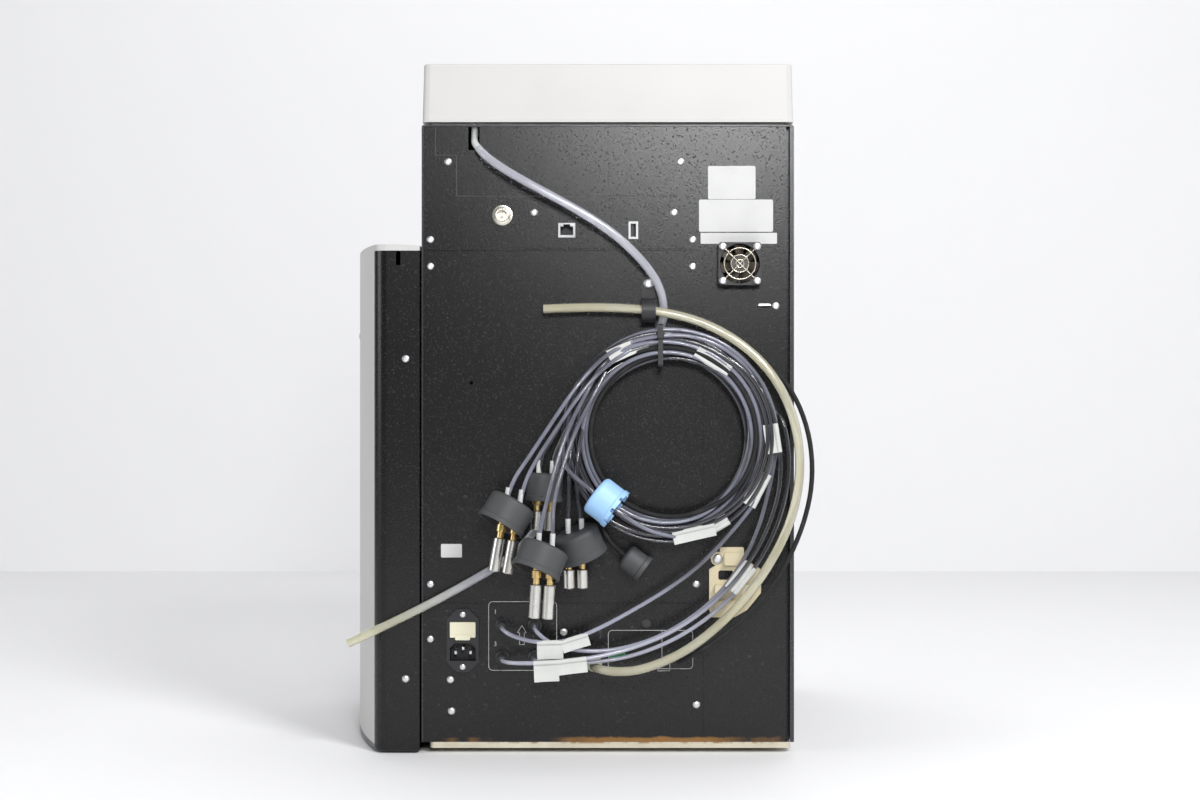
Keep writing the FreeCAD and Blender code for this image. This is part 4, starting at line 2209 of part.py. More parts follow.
def pump_motor():
    """Gear motor bolted to an upright plate that stands in the floor pan."""
    low = FOOT_HEIGHT + PAN_SHEET
    y = SERVICE_FRONT
    width = about(PUMP_X, PUMP_PLATE_WIDTH)
    axis_z = low + MOTOR_RISE
    plate = soft_block(width, (y, y + PUMP_PLATE), (low, low + PUMP_PLATE_HEIGHT), 6.0, BACKWARD)
    foot = block(width, (y, y + 40), (low, low + 4))
    motor = rod(point(PUMP_X, y + PUMP_PLATE - 0.5, axis_z), BACKWARD, MOTOR_LENGTH, MOTOR_RADIUS)
    rim = [e for e in motor.Edges if e.Closed and e.CenterOfMass.y > y + 20]
    motor = motor.makeFillet(2.5, rim)
    boss_start = point(PUMP_X, y + PUMP_PLATE + MOTOR_LENGTH - 1, axis_z)
    boss = rod(boss_start, BACKWARD, MOTOR_BOSS_LENGTH, MOTOR_BOSS_RADIUS)
    return fused([plate, foot, motor, boss])


def pump_head():
    """Two pump heads side by side on the back of the motor plate, under a common block."""
    z = FOOT_HEIGHT + PAN_SHEET + PUMP_HEAD_RISE
    y = SERVICE_FRONT + PUMP_PLATE
    tip = y + PUMP_HEAD_LENGTH
    parts = []
    for x in (PUMP_X - PUMP_SPREAD / 2, PUMP_X + PUMP_SPREAD / 2):
        parts.append(rod(point(x, y, z), BACKWARD, PUMP_HEAD_LENGTH, PUMP_HEAD_RADIUS * 0.8))
        parts.append(rod(point(x, tip - 10, z), BACKWARD, 10, PUMP_HEAD_RADIUS))
        parts.append(rod(point(x, tip - 12, z + PUMP_HEAD_RADIUS - 2), UP, 12, 4.0))
    span = about(PUMP_X, PUMP_SPREAD)
    parts.append(block(span, (tip - 9, tip - 1), about(z, PUMP_BRIDGE)))
    return fused(parts)


def valve_block():
    """Solvent selection manifold on the back of the bay liner, with four solenoids."""
    width, depth, height = VALVE_BLOCK_SIZE
    x = PORT_X - 20
    low = PORT_Z + 105
    block_ys = (BAY_BACK, BAY_BACK + depth)
    body = soft_block(about(x, width), block_ys, (low, low + height), 2.0, BACKWARD)
    parts = [body]
    for index in range(4):
        place = point(x + (index - 1.5) * 28, BAY_BACK + depth / 2, low + height - 0.5)
        parts.append(rod(place, UP, SOLENOID_LENGTH, SOLENOID_RADIUS))
        parts.append(rod(place + V(0, 0, SOLENOID_LENGTH), UP, 5.0, SOLENOID_RADIUS * 0.55))
    return fused(parts)


def uv_detector():
    """Lamp and flow-cell housing over the bay liner, with its cooling fins."""
    width, depth, height = DETECTOR_SIZE
    low = BAY_TOP + SHEET
    xs = (BAY_X + 50, BAY_X + 50 + width)
    ys = (BAY_BACK - depth - 6, BAY_BACK - 6)
    body = soft_block(xs, ys, (low, low + height), 4.0, UP)
    slots = []
    for index in range(7):
        x = xs[0] + 16 + index * 13
        slots.append(block(about(x, 5.0), (ys[0] - 1, ys[1] + 1), (low + height - 9, low + height + 1)))
    return body.cut(Part.makeCompound(slots))


NODES = {
    "base_pan": base_pan,
    "rubber_feet": rubber_feet,
    "wrap_cover": wrap_cover,
    "rear_frame_panel": rear_frame_panel,
    "upper_cover_plate": upper_cover_plate,
    "comms_plate": comms_plate,
    "rear_access_panel": rear_access_panel,
    "rear_connection_panel": rear_connection_panel,
    "solvent_tray": solvent_tray,
    "front_panel": front_panel,
    "screen_bezel": screen_bezel,
    "touch_screen": touch_screen,
    "bay_liner": bay_liner,
    "arm_rail": arm_rail,
    "collector_arm": collector_arm,
    "dispense_head": dispense_head,
    "switch_frame": switch_frame,
    "power_rocker": power_rocker,
    "fan_frame": fan_frame,
    "fan_rotor": fan_rotor,
    "fan_guard": fan_guard,
    "mains_inlet": mains_inlet,
    "inlet_pins": inlet_pins,
    "fuse_drawer": fuse_drawer,
    "data_sockets": data_sockets,
    "detector_connector": detector_connector,
    "terminal_connector": terminal_connector,
    "panel_fittings": panel_fittings,
    "sensor_plug": sensor_plug,
    "tube_clip": tube_clip,
    "bundle_tie": bundle_tie,
    "tube_bracket": tube_bracket,
    "panel_screws": panel_screws,
    "module_back_shell": module_back_shell,
    "module_side_cover": module_side_cover,
    "module_top_cap": module_top_cap,
    "column_rail": column_rail,
    "lower_column_holder": lower_column_holder,
    "upper_column_holder": upper_column_holder,
    "clamp_knob": clamp_knob,
    "injection_valve": injection_valve,
    "column_line": column_line,
    "power_supply": power_supply,
    "control_board": control_board,
    "pump_motor": pump_motor,
    "pump_head": pump_head,
    "valve_block": valve_block,
    "uv_detector": uv_detector,
    "drain_tube": lambda: tube_run("drain_tube", drain_points(), DRAIN_TUBE),
    "waste_tube": lambda: tube_run("waste_tube", waste_points(), WASTE_TUBE),
    "solvent_line_1": lambda: solvent_line(0),
    "solvent_line_2": lambda: solvent_line(1),
    "solvent_line_3": lambda: solvent_line(2),
    "solvent_line_4": lambda: solvent_line(3),
    "tubing_coil": tubing_coil,
    "sensor_cable": sensor_cable,
    "bottle_caps": bottle_caps,
    "blue_cap": blue_cap,
    "end_fittings": end_fittings,
    "inlet_filters": inlet_filters,
}


def main():
    os.makedirs("parts", exist_ok=True)
    for name, make in NODES.items():
        shape = make()
        shape.exportStep(f"parts/{name}.step")
        box = shape.BoundBox
        print(
            f"{name}: {len(shape.Solids)} solids, valid {shape.isValid()}, "
            f"volume {shape.Volume / 1000:.1f} cm3, "
            f"x {box.XMin:.1f}..{box.XMax:.1f} y {box.YMin:.1f}..{box.YMax:.1f} "
            f"z {box.ZMin:.1f}..{box.ZMax:.1f}"
        )


main()
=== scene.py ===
# %% [markdown]
# A bench-top flash chromatography system, seen from its rear. The frame brings every solid with its place
# and its joints, so nothing is modelled twice here. This lesson adds what a solid can't show: procedural
# finishes, a coil of flexible tubes, paper flags, printed marks, and a plain studio with soft light.
# %% Load the frame
import json
import math
import bpy
import numpy as np
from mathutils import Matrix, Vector


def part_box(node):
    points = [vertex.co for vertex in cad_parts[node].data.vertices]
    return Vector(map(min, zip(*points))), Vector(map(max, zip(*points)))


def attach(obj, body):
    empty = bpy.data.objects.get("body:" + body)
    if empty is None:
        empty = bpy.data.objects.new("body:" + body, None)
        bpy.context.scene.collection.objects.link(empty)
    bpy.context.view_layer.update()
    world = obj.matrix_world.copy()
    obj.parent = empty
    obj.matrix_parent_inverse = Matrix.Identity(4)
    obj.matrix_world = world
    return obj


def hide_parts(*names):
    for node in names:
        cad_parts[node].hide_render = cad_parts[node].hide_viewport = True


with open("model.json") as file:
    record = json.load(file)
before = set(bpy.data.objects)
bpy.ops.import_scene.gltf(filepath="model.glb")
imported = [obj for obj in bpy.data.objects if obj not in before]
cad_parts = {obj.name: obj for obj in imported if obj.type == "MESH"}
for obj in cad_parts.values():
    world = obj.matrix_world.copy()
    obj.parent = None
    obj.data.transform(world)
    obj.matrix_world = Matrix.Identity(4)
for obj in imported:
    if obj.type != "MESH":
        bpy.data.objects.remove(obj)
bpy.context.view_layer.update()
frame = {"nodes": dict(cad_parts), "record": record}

MM = 0.001
print("nodes in the frame:", len(frame["nodes"]))

# %% [markdown]
# A procedural finish is mostly arithmetic on textures. Every sum could be a Math node that is made and
# linked by hand, but ten lines of linking hide one line of thought. So a Signal wraps an output socket and
# overloads plus, minus and times, and with the reflected forms 1.0 - mask simply works. All nodes are made in
# one function: the settings come first, since they decide which sockets a node shows, then the sockets.
# %% A socket that behaves like a number
def feed(tree, slot, value):
    """Puts a constant or another node's output on an input slot."""
    if isinstance(value, Signal):
        tree.links.new(value.socket, slot)
    elif value is not None:
        slot.default_value = value


def add_node(tree, kind, output=0, settings=None, sockets=None):
    """Makes a shader node and returns one of its outputs as a Signal."""
    made = tree.nodes.new(kind)
    for key, value in (settings or {}).items():
        setattr(made, key, value)
    for key, value in (sockets or {}).items():
        feed(tree, made.inputs[key], value)
    return Signal(tree, made.outputs[output])


class Signal:
    def __init__(self, tree, socket):
        self.tree = tree
        self.socket = socket

    def math(self, operation, first, second):
        return add_node(self.tree, "ShaderNodeMath", 0, {"operation": operation}, {0: first, 1: second})

    def __add__(self, other):
        return self.math("ADD", self, other)

    def __radd__(self, other):
        return self.math("ADD", other, self)

    def __sub__(self, other):
        return self.math("SUBTRACT", self, other)

    def __rsub__(self, other):
        return self.math("SUBTRACT", other, self)

    def __mul__(self, other):
        return self.math("MULTIPLY", self, other)

    def __rmul__(self, other):
        return self.math("MULTIPLY", other, self)

    def at_most(self, limit):
        return self.math("MINIMUM", self, limit)

    def step(self, low, high):
        """Rises smoothly from 0 at low to 1 at high."""
        smooth = {"interpolation_type": "SMOOTHSTEP"}
        values = {"Value": self, "From Min": low, "From Max": high}
        return add_node(self.tree, "ShaderNodeMapRange", 0, smooth, values)

    def band(self, low, high, soft):
        """1 between low and high, with soft shoulders."""
        return self.step(low - soft, low) * (1.0 - self.step(high, high + soft))


print("a Signal knows:", [name for name in vars(Signal) if not name.startswith("__")])

# %% [markdown]
# Each real finish is one coat on one body, so each gets one principled shader. Image textures would show
# a seam on every solid and need unwrapping. Noise and cells in the object's own coordinates need neither,
# and keep their true size in metres. A Paint holds the shader and offers the few textures used here.
# %% One material under construction
def rgba(color):
    return color if isinstance(color, Signal) else (*color, 1.0)


class Paint:
    def __init__(self, name, color, roughness, metallic=0.0, **constants):
        self.material = bpy.data.materials.new(name)
        self.material.use_nodes = True
        self.tree = self.material.node_tree
        self.tree.nodes.clear()
        self.shader = self.node("ShaderNodeBsdfPrincipled")
        self.inputs = self.shader.socket.node.inputs
        self.out = self.tree.nodes.new("ShaderNodeOutputMaterial").inputs["Surface"]
        self.show(self.shader)
        self.set("Base Color", rgba(color))
        self.set("Roughness", roughness)
        self.set("Metallic", metallic)
        for key, value in constants.items():
            self.set(key.replace("_", " "), value)

    def node(self, kind, output=0, settings=None, sockets=None):
        return add_node(self.tree, kind, output, settings, sockets)

    def show(self, shader):
        """Ends the material in this shader."""
        feed(self.tree, self.out, shader)

    def set(self, name, value):
        feed(self.tree, self.inputs[name], value)

    def place(self, stretch=(1, 1, 1)):
        here = self.node("ShaderNodeTexCoord", "Object")
        return self.node("ShaderNodeMapping", 0, None, {"Vector": here, "Scale": stretch})

    def axis(self, index):
        """One coordinate in metres: 0 across, 1 in depth, 2 up."""
        return self.node("ShaderNodeSeparateXYZ", index, None, {"Vector": self.place()})

    def noise(self, scale, detail=2.0, stretch=(1, 1, 1)):
        values = {"Vector": self.place(stretch), "Scale": scale, "Detail": detail}
        return self.node("ShaderNodeTexNoise", 0, None, values)

    def cells(self, scale, stretch=(1, 1, 1)):
        return self.node("ShaderNodeTexVoronoi", 0, None, {"Vector": self.place(stretch), "Scale": scale})

    def blend(self, factor, first, second):
        """From the first colour, at 0, to the second, at 1."""
        values = {0: factor, 6: rgba(first), 7: rgba(second)}
        return self.node("ShaderNodeMix", 2, {"data_type": "RGBA"}, values)

    def bump(self, height, distance, strength=1.0):
        values = {"Height": height, "Distance": distance, "Strength": strength}
        self.set("Normal", self.node("ShaderNodeBump", 0, None, values))


print("a Paint offers:", [name for name in vars(Paint) if not name.startswith("__")])

# %% [markdown]
# The cabinet is sheet metal with a black textured powder coat: a fine raised grain whose peaks rub pale,
# small pits that break up the sheen, and some dust. Modelled grain would take millions of faces, so the
# grain is a bump, and the colour and the roughness follow the same cells to make it believable. The
# stain is the brown line that old liquid left along the foot of the rear panels. It is placed by height
# and by distance across, which costs nothing and needs no painted mask.
# %% Painted metal
looks = {}
BLACK, BLACK_PEAK = (0.0032, 0.003, 0.0034), (0.02, 0.0195, 0.021)
STAIN_BROWN = (0.22, 0.105, 0.025)
STAIN_TOP, STAIN_SPAN = (0.0102, 0.0128), (-0.13, -0.03)


def textured_paint(name, color, peak, stained=False):
    paint = Paint(name, color, 0.4, Specular_IOR_Level=0.42)
    grain = paint.cells(620.0)
    fine = paint.noise(1500.0, 3.0)
    patch = paint.noise(7.0, 4.0)
    dust = paint.noise(260.0, 2.0).step(0.62, 0.74) * patch.step(0.35, 0.75)
    coat = paint.blend((1.0 - grain.step(0.05, 0.3)) * 0.55, color, peak)
    coat = paint.blend(dust * 0.25, coat, tuple(0.12 + c for c in peak))
    if stained:
        z = paint.axis(2)
        x = paint.axis(0)
        drip = paint.noise(90.0, 4.0, (1, 1, 0.2)) * 0.0045
        low = 1.0 - (z - drip).step(*STAIN_TOP)
        along = x.band(*STAIN_SPAN, 0.05) * 0.9 + paint.noise(30.0, 3.0, (1, 1, 0)).step(0.5, 0.7) * 0.5
        coat = paint.blend((low * along).at_most(0.95), coat, STAIN_BROWN)
    paint.set("Base Color", coat)
    pits = paint.noise(480.0, 2.0).step(0.6, 0.7)
    paint.set("Roughness", 0.19 + patch * 0.06 + fine * 0.06 + pits * 0.3)
    paint.bump((1.0 - grain) * 0.6 + fine * 0.4, 0.00022, 0.3)
    return paint.material


def satin_paint(name, color):
    paint = Paint(name, color, 0.4)
    patch = paint.noise(5.0, 5.0)
    scuff = paint.noise(60.0, 5.0, (0.3, 1, 4)).step(0.62, 0.72)
    darker = tuple(c * 0.9 for c in color)
    paint.set("Base Color", paint.blend(patch.step(0.3, 0.8) * 0.5 + scuff * 0.2, color, darker))
    paint.set("Roughness", 0.34 + patch * 0.2 + scuff * 0.1)
    paint.bump(paint.noise(900.0, 2.0), 0.00005, 0.5)
    return paint.material


looks["black_paint"] = textured_paint("Black_texture_paint", BLACK, BLACK_PEAK)
looks["stained_paint"] = textured_paint("Stained_texture_paint", BLACK, BLACK_PEAK, True)
looks["dark_paint"] = textured_paint("Dark_texture_paint", (0.03, 0.03, 0.033), (0.09, 0.09, 0.095))
looks["white_sheet"] = satin_paint("White_sheet_paint", (0.74, 0.75, 0.75))
print("painted metals:", list(looks))

# %% [markdown]
# The tray, the caps and the sockets are moulded, and moulded parts copy the etched face of their mould.
# That grain is softer than paint, with cloudy grime and a few dark specks on top. One recipe serves them
# all, and only its colour, grain and grime change, so that the plastics look like one family.
# %% Moulded plastics
def moulding(name, color, grain=0.00006, roughness=0.45, grime=0.25):
    paint = Paint(name, color, roughness, Specular_IOR_Level=0.45)
    cloud = paint.noise(9.0, 5.0)
    speck = paint.noise(420.0, 2.0).step(0.68, 0.76)
    dull = tuple(c * 0.72 for c in color)
    paint.set("Base Color", paint.blend(cloud.step(0.4, 0.85) * grime + speck * grime * 0.7, color, dull))
    paint.set("Roughness", roughness - 0.06 + cloud * 0.14)
    paint.bump(paint.noise(1100.0, 3.0) + paint.cells(700.0) * 0.5, grain, 0.6)
    return paint.material


looks["grey_moulding"] = moulding("Light_grey_moulding", (0.49, 0.485, 0.475), roughness=0.42, grime=0.2)
looks["fan_plastic"] = moulding("Warm_fan_plastic", (0.085, 0.07, 0.055), roughness=0.35)
looks["dark_plastic"] = moulding("Black_plastic", (0.016, 0.016, 0.018), roughness=0.42)
looks["cap_plastic"] = moulding("Cap_plastic", (0.055, 0.057, 0.06), 0.00012, 0.55)
looks["blue_plastic"] = moulding("Blue_plastic", (0.32, 0.54, 0.84), roughness=0.42, grime=0.15)
looks["ivory_plastic"] = moulding("Ivory_plastic", (0.72, 0.69, 0.52), roughness=0.4, grime=0.15)
looks["beige_plastic"] = moulding("Beige_plastic", (0.6, 0.53, 0.36), roughness=0.45, grime=0.3)
looks["green_plastic"] = moulding("Green_plastic", (0.03, 0.2, 0.07))
looks["white_polymer"] = moulding("White_polymer", (0.7, 0.7, 0.66))
looks["sleeve"] = moulding("Sleeve_plastic", (0.6, 0.61, 0.6), roughness=0.5, grime=0.3)
print("with plastics:", len(looks))

# %% [markdown]
# Rubber and paper hardly shine. Their look is in soft clouds of tone: rubber bleaches in patches, and
# paper and film go a little grey where they are handled. A low specular level keeps both of them matt.
# %% Rubber and paper
def rubber(name, color):
    paint = Paint(name, color, 0.75, Specular_IOR_Level=0.3)
    cloud = paint.noise(70.0, 4.0)
    paint.set("Base Color", paint.blend(cloud.step(0.45, 0.8) * 0.5, color, tuple(c + 0.03 for c in color)))
    paint.bump(paint.noise(700.0, 3.0), 0.0001, 0.6)
    return paint.material


def paper(name, color, wrinkle=0.0002):
    paint = Paint(name, color, 0.65, Specular_IOR_Level=0.25)
    cloud = paint.noise(40.0, 4.0)
    paint.set("Base Color", paint.blend(cloud.step(0.35, 0.8) * 0.35, color, tuple(c * 0.82 for c in color)))
    paint.bump(paint.noise(120.0, 3.0), wrinkle, 0.5)
    return paint.material


looks["black_rubber"] = rubber("Black_rubber", (0.012, 0.012, 0.013))
looks["cable"] = rubber("Cable_jacket", (0.012, 0.012, 0.013))
looks["flag_paper"] = paper("Flag_paper", (0.55, 0.56, 0.54))
looks["label_film"] = paper("Label_film", (0.55, 0.55, 0.55), 0.00003)
looks["print"] = paper("Panel_print", (0.5, 0.5, 0.5), 0.00001)
print("with rubber and paper:", len(looks))

# %% [markdown]
# Bare metal shows the way it was worked: rolled sheet and turned parts carry fine lines in one direction.
# Noise that is stretched along one axis gives such lines for the price of one texture. The lines steer
# the roughness, since light reads them there first, and a weak bump gives them a little depth.
# %% Bare metals
def metal(name, color, roughness, scratch=(1, 1, 30), tarnish=(0.3, 0.26, 0.2), age=0.3):
    paint = Paint(name, color, roughness, 1.0)
    line = paint.noise(160.0, 4.0, scratch)
    cloud = paint.noise(25.0, 5.0)
    paint.set("Base Color", paint.blend(cloud.step(0.45, 0.85) * age, color, tarnish))
    paint.set("Roughness", roughness - 0.08 + line * 0.14 + cloud * 0.08)
    paint.bump(line, 0.00003, 0.35)
    return paint.material


looks["bright_metal"] = metal("Bright_metal", (0.7, 0.71, 0.72), 0.32)
looks["steel"] = metal("Machined_steel", (0.66, 0.65, 0.62), 0.24, (1, 1, 0.1))
looks["chrome_wire"] = metal("Chrome_wire", (0.5, 0.47, 0.4), 0.22)
looks["nickel"] = metal("Nickel_plate", (0.74, 0.71, 0.62), 0.22, (1, 1, 1), (0.4, 0.34, 0.24))
looks["brass_fitting"] = metal("Brass", (0.72, 0.53, 0.24), 0.26, (1, 1, 1), (0.32, 0.2, 0.08), 0.5)
print("with bare metals:", len(looks))

# %% [markdown]
# Three finishes occur once each. The floor pan is cream plated steel, browned near its top edge by the
# same spill as the panels, so it takes the same stain colour. The screen is dark glass with wiped smears
# that show mostly in its gloss. The control board's tracks are drawn by the borders of stretched cells.
# %% Plated pan, screen glass and circuit board
PAN_EDGE, PAN_SPAN = (0.0072, 0.0092), (-0.16, 0.02)
GLASS_BLACK = (0.012, 0.013, 0.016)


def plated_edge(name):
    """Cream plating of the floor pan, browned near its top edge."""
    paint = Paint(name, (0.62, 0.58, 0.46), 0.42, 0.55)
    cloud = paint.noise(30.0, 5.0)
    coat = paint.blend(cloud.step(0.35, 0.75) * 0.6, (0.66, 0.62, 0.5), (0.45, 0.4, 0.3))
    x = paint.axis(0)
    z = paint.axis(2)
    run = paint.noise(120.0, 4.0, (1, 1, 0.3)).step(0.42, 0.62)
    where = x.band(*PAN_SPAN, 0.08) * z.step(*PAN_EDGE) * run
    paint.set("Base Color", paint.blend(where * 0.85, coat, STAIN_BROWN))
    paint.set("Roughness", 0.34 + cloud * 0.2)
    paint.bump(paint.noise(300.0, 3.0), 0.00004, 0.5)
    return paint.material


def dark_glass(name):
    paint = Paint(name, GLASS_BLACK, 0.06, Coat_Weight=1.0, Coat_Roughness=0.03)
    smear = paint.noise(22.0, 5.0, (1, 1, 2.2))
    paint.set("Roughness", 0.05 + smear.step(0.45, 0.8) * 0.16)
    paint.set("Base Color", paint.blend(smear.step(0.5, 0.9) * 0.3, GLASS_BLACK, (0.03, 0.032, 0.036)))
    return paint.material


def circuit_board(name):
    paint = Paint(name, (0.02, 0.14, 0.06), 0.35)
    tracks = paint.cells(240.0, (1, 0.25, 1)).step(0.2, 0.32)
    paint.set("Base Color", paint.blend(tracks, (0.06, 0.24, 0.1), (0.015, 0.12, 0.05)))
    paint.bump(tracks, 0.00005, 0.5)
    return paint.material


looks["plated_steel"] = plated_edge("Plated_pan")
looks["screen_glass"] = dark_glass("Screen_glass")
looks["green_board"] = circuit_board("Circuit_board")
print("with the single finishes:", len(looks))

# %% [markdown]
# The solvent tubes are milky fluoropolymer. Full transmission would make them vanish against the black
# panels, so part of the light is transmitted and the rest shows a pale body colour under a thin clear
# coat, which gives the long bright glints. A slow blend along the tube stands for what is left inside.
# Low down by the ports the lines are painted lighter, which leaves them darker in the coil as painted shade,
# and the open end of the drain tube has yellowed: both are placed by a coordinate. Two of the lines are
# painted darker still in the coil, as painted shade.
# %% Tubing
def tubing(name, color, trace, clear=0.6, roughness=0.22, aged=None, lit_port_colour=None):
    """Milky tube; aged is its colour at the free end, lit_port_colour the lighter colour it is painted low
    down by the ports, so that the coil above keeps a painted shade.
    """
    paint = Paint(
        name, color, roughness, Transmission_Weight=clear, IOR=1.33, Specular_IOR_Level=0.6,
        Coat_Weight=1.0, Coat_Roughness=0.06,
    )
    slow = paint.noise(16.0, 3.0)
    fine = paint.noise(220.0, 3.0)
    coat = paint.blend(slow.step(0.35, 0.7) * 0.8, color, trace)
    if aged:
        coat = paint.blend(paint.axis(0).step(0.07, 0.19), coat, aged)
    # Painted shade: in the coil the tube keeps its darker colour, and low down by the ports it blends to the
    # lighter one.
    if lit_port_colour:
        coat = paint.blend(1.0 - paint.axis(2).step(0.11, 0.19), coat, lit_port_colour)
    paint.set("Base Color", coat)
    paint.set("Roughness", roughness - 0.06 + fine * 0.14)
    paint.bump(fine, 0.00006, 0.4)
    return paint.material


TUBES = {
    "clear_tube": ("Clear_tube", (0.62, 0.67, 0.78), (0.45, 0.5, 0.62)),
    "line_tube": ("Line_tube", (0.3, 0.31, 0.39), (0.09, 0.09, 0.105), 0.45, 0.12, None, (0.5, 0.51, 0.62)),
    # A copy of the line tube painted darker, as shade in the coil. By the ports it is as pale as the other.
    "dark_line_tube": (
        "Dark_line_tube", (0.06, 0.061, 0.072), (0.015, 0.015, 0.017), 0.35, 0.14, None, (0.5, 0.51, 0.6)
    ),
    "drain_tube": ("Drain_tube", (0.74, 0.75, 0.81), (0.6, 0.61, 0.69), 0.6, 0.16, (0.74, 0.73, 0.55)),
    "waste_tube": ("Waste_tube", (0.68, 0.66, 0.52), (0.58, 0.54, 0.36), 0.55, 0.22),
}
for look, recipe in TUBES.items():
    looks[look] = tubing(*recipe)
print("materials:", len(looks))

# %% [markdown]
# The record gives each solid a slot, and the slot names its finish. Where the photograph shows one node in
# several colours, as on the ports, a colour that is chosen by place, with soft bands along the axes, shows
# them and leaves the solid as it is.
# %% Finishes that change by place
WASTE_SPAN, WASTE_HEIGHT, SPOUT_FROM = (-0.036, -0.016), (0.07, 0.1), (0.5, 0.51)
SOCKET_MOUTH = (0.2065, 0.2078)


def by_place(name, choose):
    """A moulding whose colour is what choose makes of its place."""
    paint = Paint(name, (0.5, 0.5, 0.5), 0.4, Specular_IOR_Level=0.45)
    cloud = paint.noise(60.0, 4.0)
    paint.set("Base Color", choose(paint))
    paint.set("Roughness", 0.3 + cloud * 0.25)
    paint.bump(cloud + paint.noise(900.0, 2.0) * 0.4, 0.00008, 0.5)
    return paint.material


def fitting_colour(paint):
    """Dark port nuts, a pale green waste port, and a pale drain spout above."""
    x = paint.axis(0)
    z = paint.axis(2)
    waste = x.band(*WASTE_SPAN, 0.001) * z.band(*WASTE_HEIGHT, 0.001)
    spout = z.step(*SPOUT_FROM)
    speck = paint.noise(300.0, 3.0).step(0.45, 0.75)
    dark = paint.blend(speck * 0.5, (0.03, 0.03, 0.032), (0.07, 0.07, 0.073))
    pale = paint.blend(waste, dark, (0.42, 0.45, 0.33))
    return paint.blend(spout, pale, (0.55, 0.56, 0.55))


def socket_colour(paint):
    """Bright shells whose mouths are painted dark inside, as shade in the recess."""
    y = paint.axis(1)
    # Painted shade: the mouth behind the shell's front is darkened where its recess lies in shade.
    inside = 1.0 - y.step(*SOCKET_MOUTH)
    return paint.blend(inside, (0.55, 0.56, 0.57), (0.02, 0.02, 0.02))


looks["panel_fittings"] = by_place("Fitting_plastics", fitting_colour)
looks["data_sockets"] = by_place("Socket_shells", socket_colour)
print("finishes by place: 2, in all:", len(looks))

# %% [markdown]
# Most solids simply take their slot's finish. A few stand apart: the stained panels, the two nodes that are
# coloured by place, and the fan rotor, whose plastic is warmer than its frame. A short table of exceptions
# is easier to check against the photograph than a full list of sixty.
# %% Dress the nodes
slots = {entry["node"]: entry["material_slot"] for entry in frame["record"]["subparts"]}
special = {
    "panel_fittings": "panel_fittings",
    "data_sockets": "data_sockets",
    "rear_connection_panel": "stained_paint",
    "rear_frame_panel": "stained_paint",
    "module_back_shell": "black_paint",
    "fan_rotor": "fan_plastic",
}
for name, node in frame["nodes"].items():
    look = looks[special.get(name, slots[name])]
    node.data.materials.clear()
    node.data.materials.append(look)
print("dressed:", len(frame["nodes"]))

# %% [markdown]
# A tube's route could be typed in world coordinates, but then it would be hard to compare with the picture.
# So every route is given from an anchor that one can point at: the middle of the four ports, the middle of
# the coil or the drain slot. The coil and the plane of the rear panels are measured on the frame. A triple
# is (x, distance behind the rear panels, z) in millimetres.
# %% Anchors
coil_low, coil_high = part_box("tubing_coil")
Y_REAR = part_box("rear_connection_panel")[1].y / MM
PORTS = (44.3, 104.5)
COIL = ((coil_low.x + coil_high.x) / 2 / MM, (coil_low.z + coil_high.z) / 2 / MM)
SLOT = (86.4, 587.5)


def near(anchor, values):
    """Points in millimetres from triples that are counted from an anchor."""
    return [Vector((anchor[0] + x, Y_REAR + reach, anchor[1] + z)) for x, reach, z in values]


print("coil middle", COIL, "rear plane", Y_REAR)

# %% [markdown]
# Four solvent lines and a sensor cable leave their ports, swing right, join the coil, and come out at the
# left towards their caps. The first and last stretches are read off the photograph, since a viewer compares
# them with it. Only the wound turns between them are computed.
# %% Routes in and out of the coil
LINES_IN = [
    near(PORTS, [
        (15.2, 14, 15.2), (15.2, 24, 15.2), (11.7, 32.5, 12.8), (3.7, 38, 9), (-10.3, 40, 5),
        (-30.3, 40, 2.5), (-52.3, 38.5, 6), (-78.3, 36, 17), (-106.3, 34, 32),
    ]) + near(COIL, [(3.9, 31, -142.1), (-24.1, 28.5, -122.6), (-49.1, 26.5, -98.1)]),
    near(PORTS, [
        (-15.2, 14, 15.2), (-15.2, 23, 15.2), (-17.8, 30, 12), (-24.3, 34, 6.5), (-35.3, 35, 0),
        (-52.3, 35, -4.2), (-73.3, 34.5, -5.7), (-98.3, 33.5, -3), (-129.3, 32, 6.5),
    ]) + near(COIL, [
        (-20.1, 30.5, -167.6), (-47.1, 28.5, -145.1), (-69.1, 26.5, -115.1), (-83.1, 25, -85.1),
        (-90.6, 22.5, -59.1),
    ]),
    near(PORTS, [
        (15.2, 14, -15.2), (15.2, 24, -15.2), (11.2, 33, -15.5), (2.7, 40.5, -15.5), (-9.3, 45.5, -14.9),
        (-26.3, 47.5, -14.5), (-50.3, 47, -12.5), (-78.3, 45, -8.5), (-110.3, 42, -0.5),
    ]) + near(COIL, [
        (-4.1, 40, -178.1), (-36.1, 38, -156.6), (-64.1, 35.5, -129.6), (-87.1, 32.5, -95.1),
        (-101.6, 28.5, -56.1), (-104.1, 24.5, -26.1),
    ]),
    near(PORTS, [
        (-15.2, 14, -15.2), (-15.2, 23, -15.2), (-18.8, 30.5, -14.9), (-26.3, 35.5, -14.6),
        (-38.3, 38, -15.1), (-57.3, 38.5, -15.5), (-82.3, 37.5, -14), (-112.3, 36, -8),
    ]) + near(COIL, [
        (-8.1, 34, -185.1), (-42.1, 31, -162.6), (-71.1, 28.5, -133.6), (-94.1, 26, -98.1),
        (-108.6, 24, -58.1), (-112.6, 21.5, -20.1), (-108.1, 20, 13.9),
    ]),
]
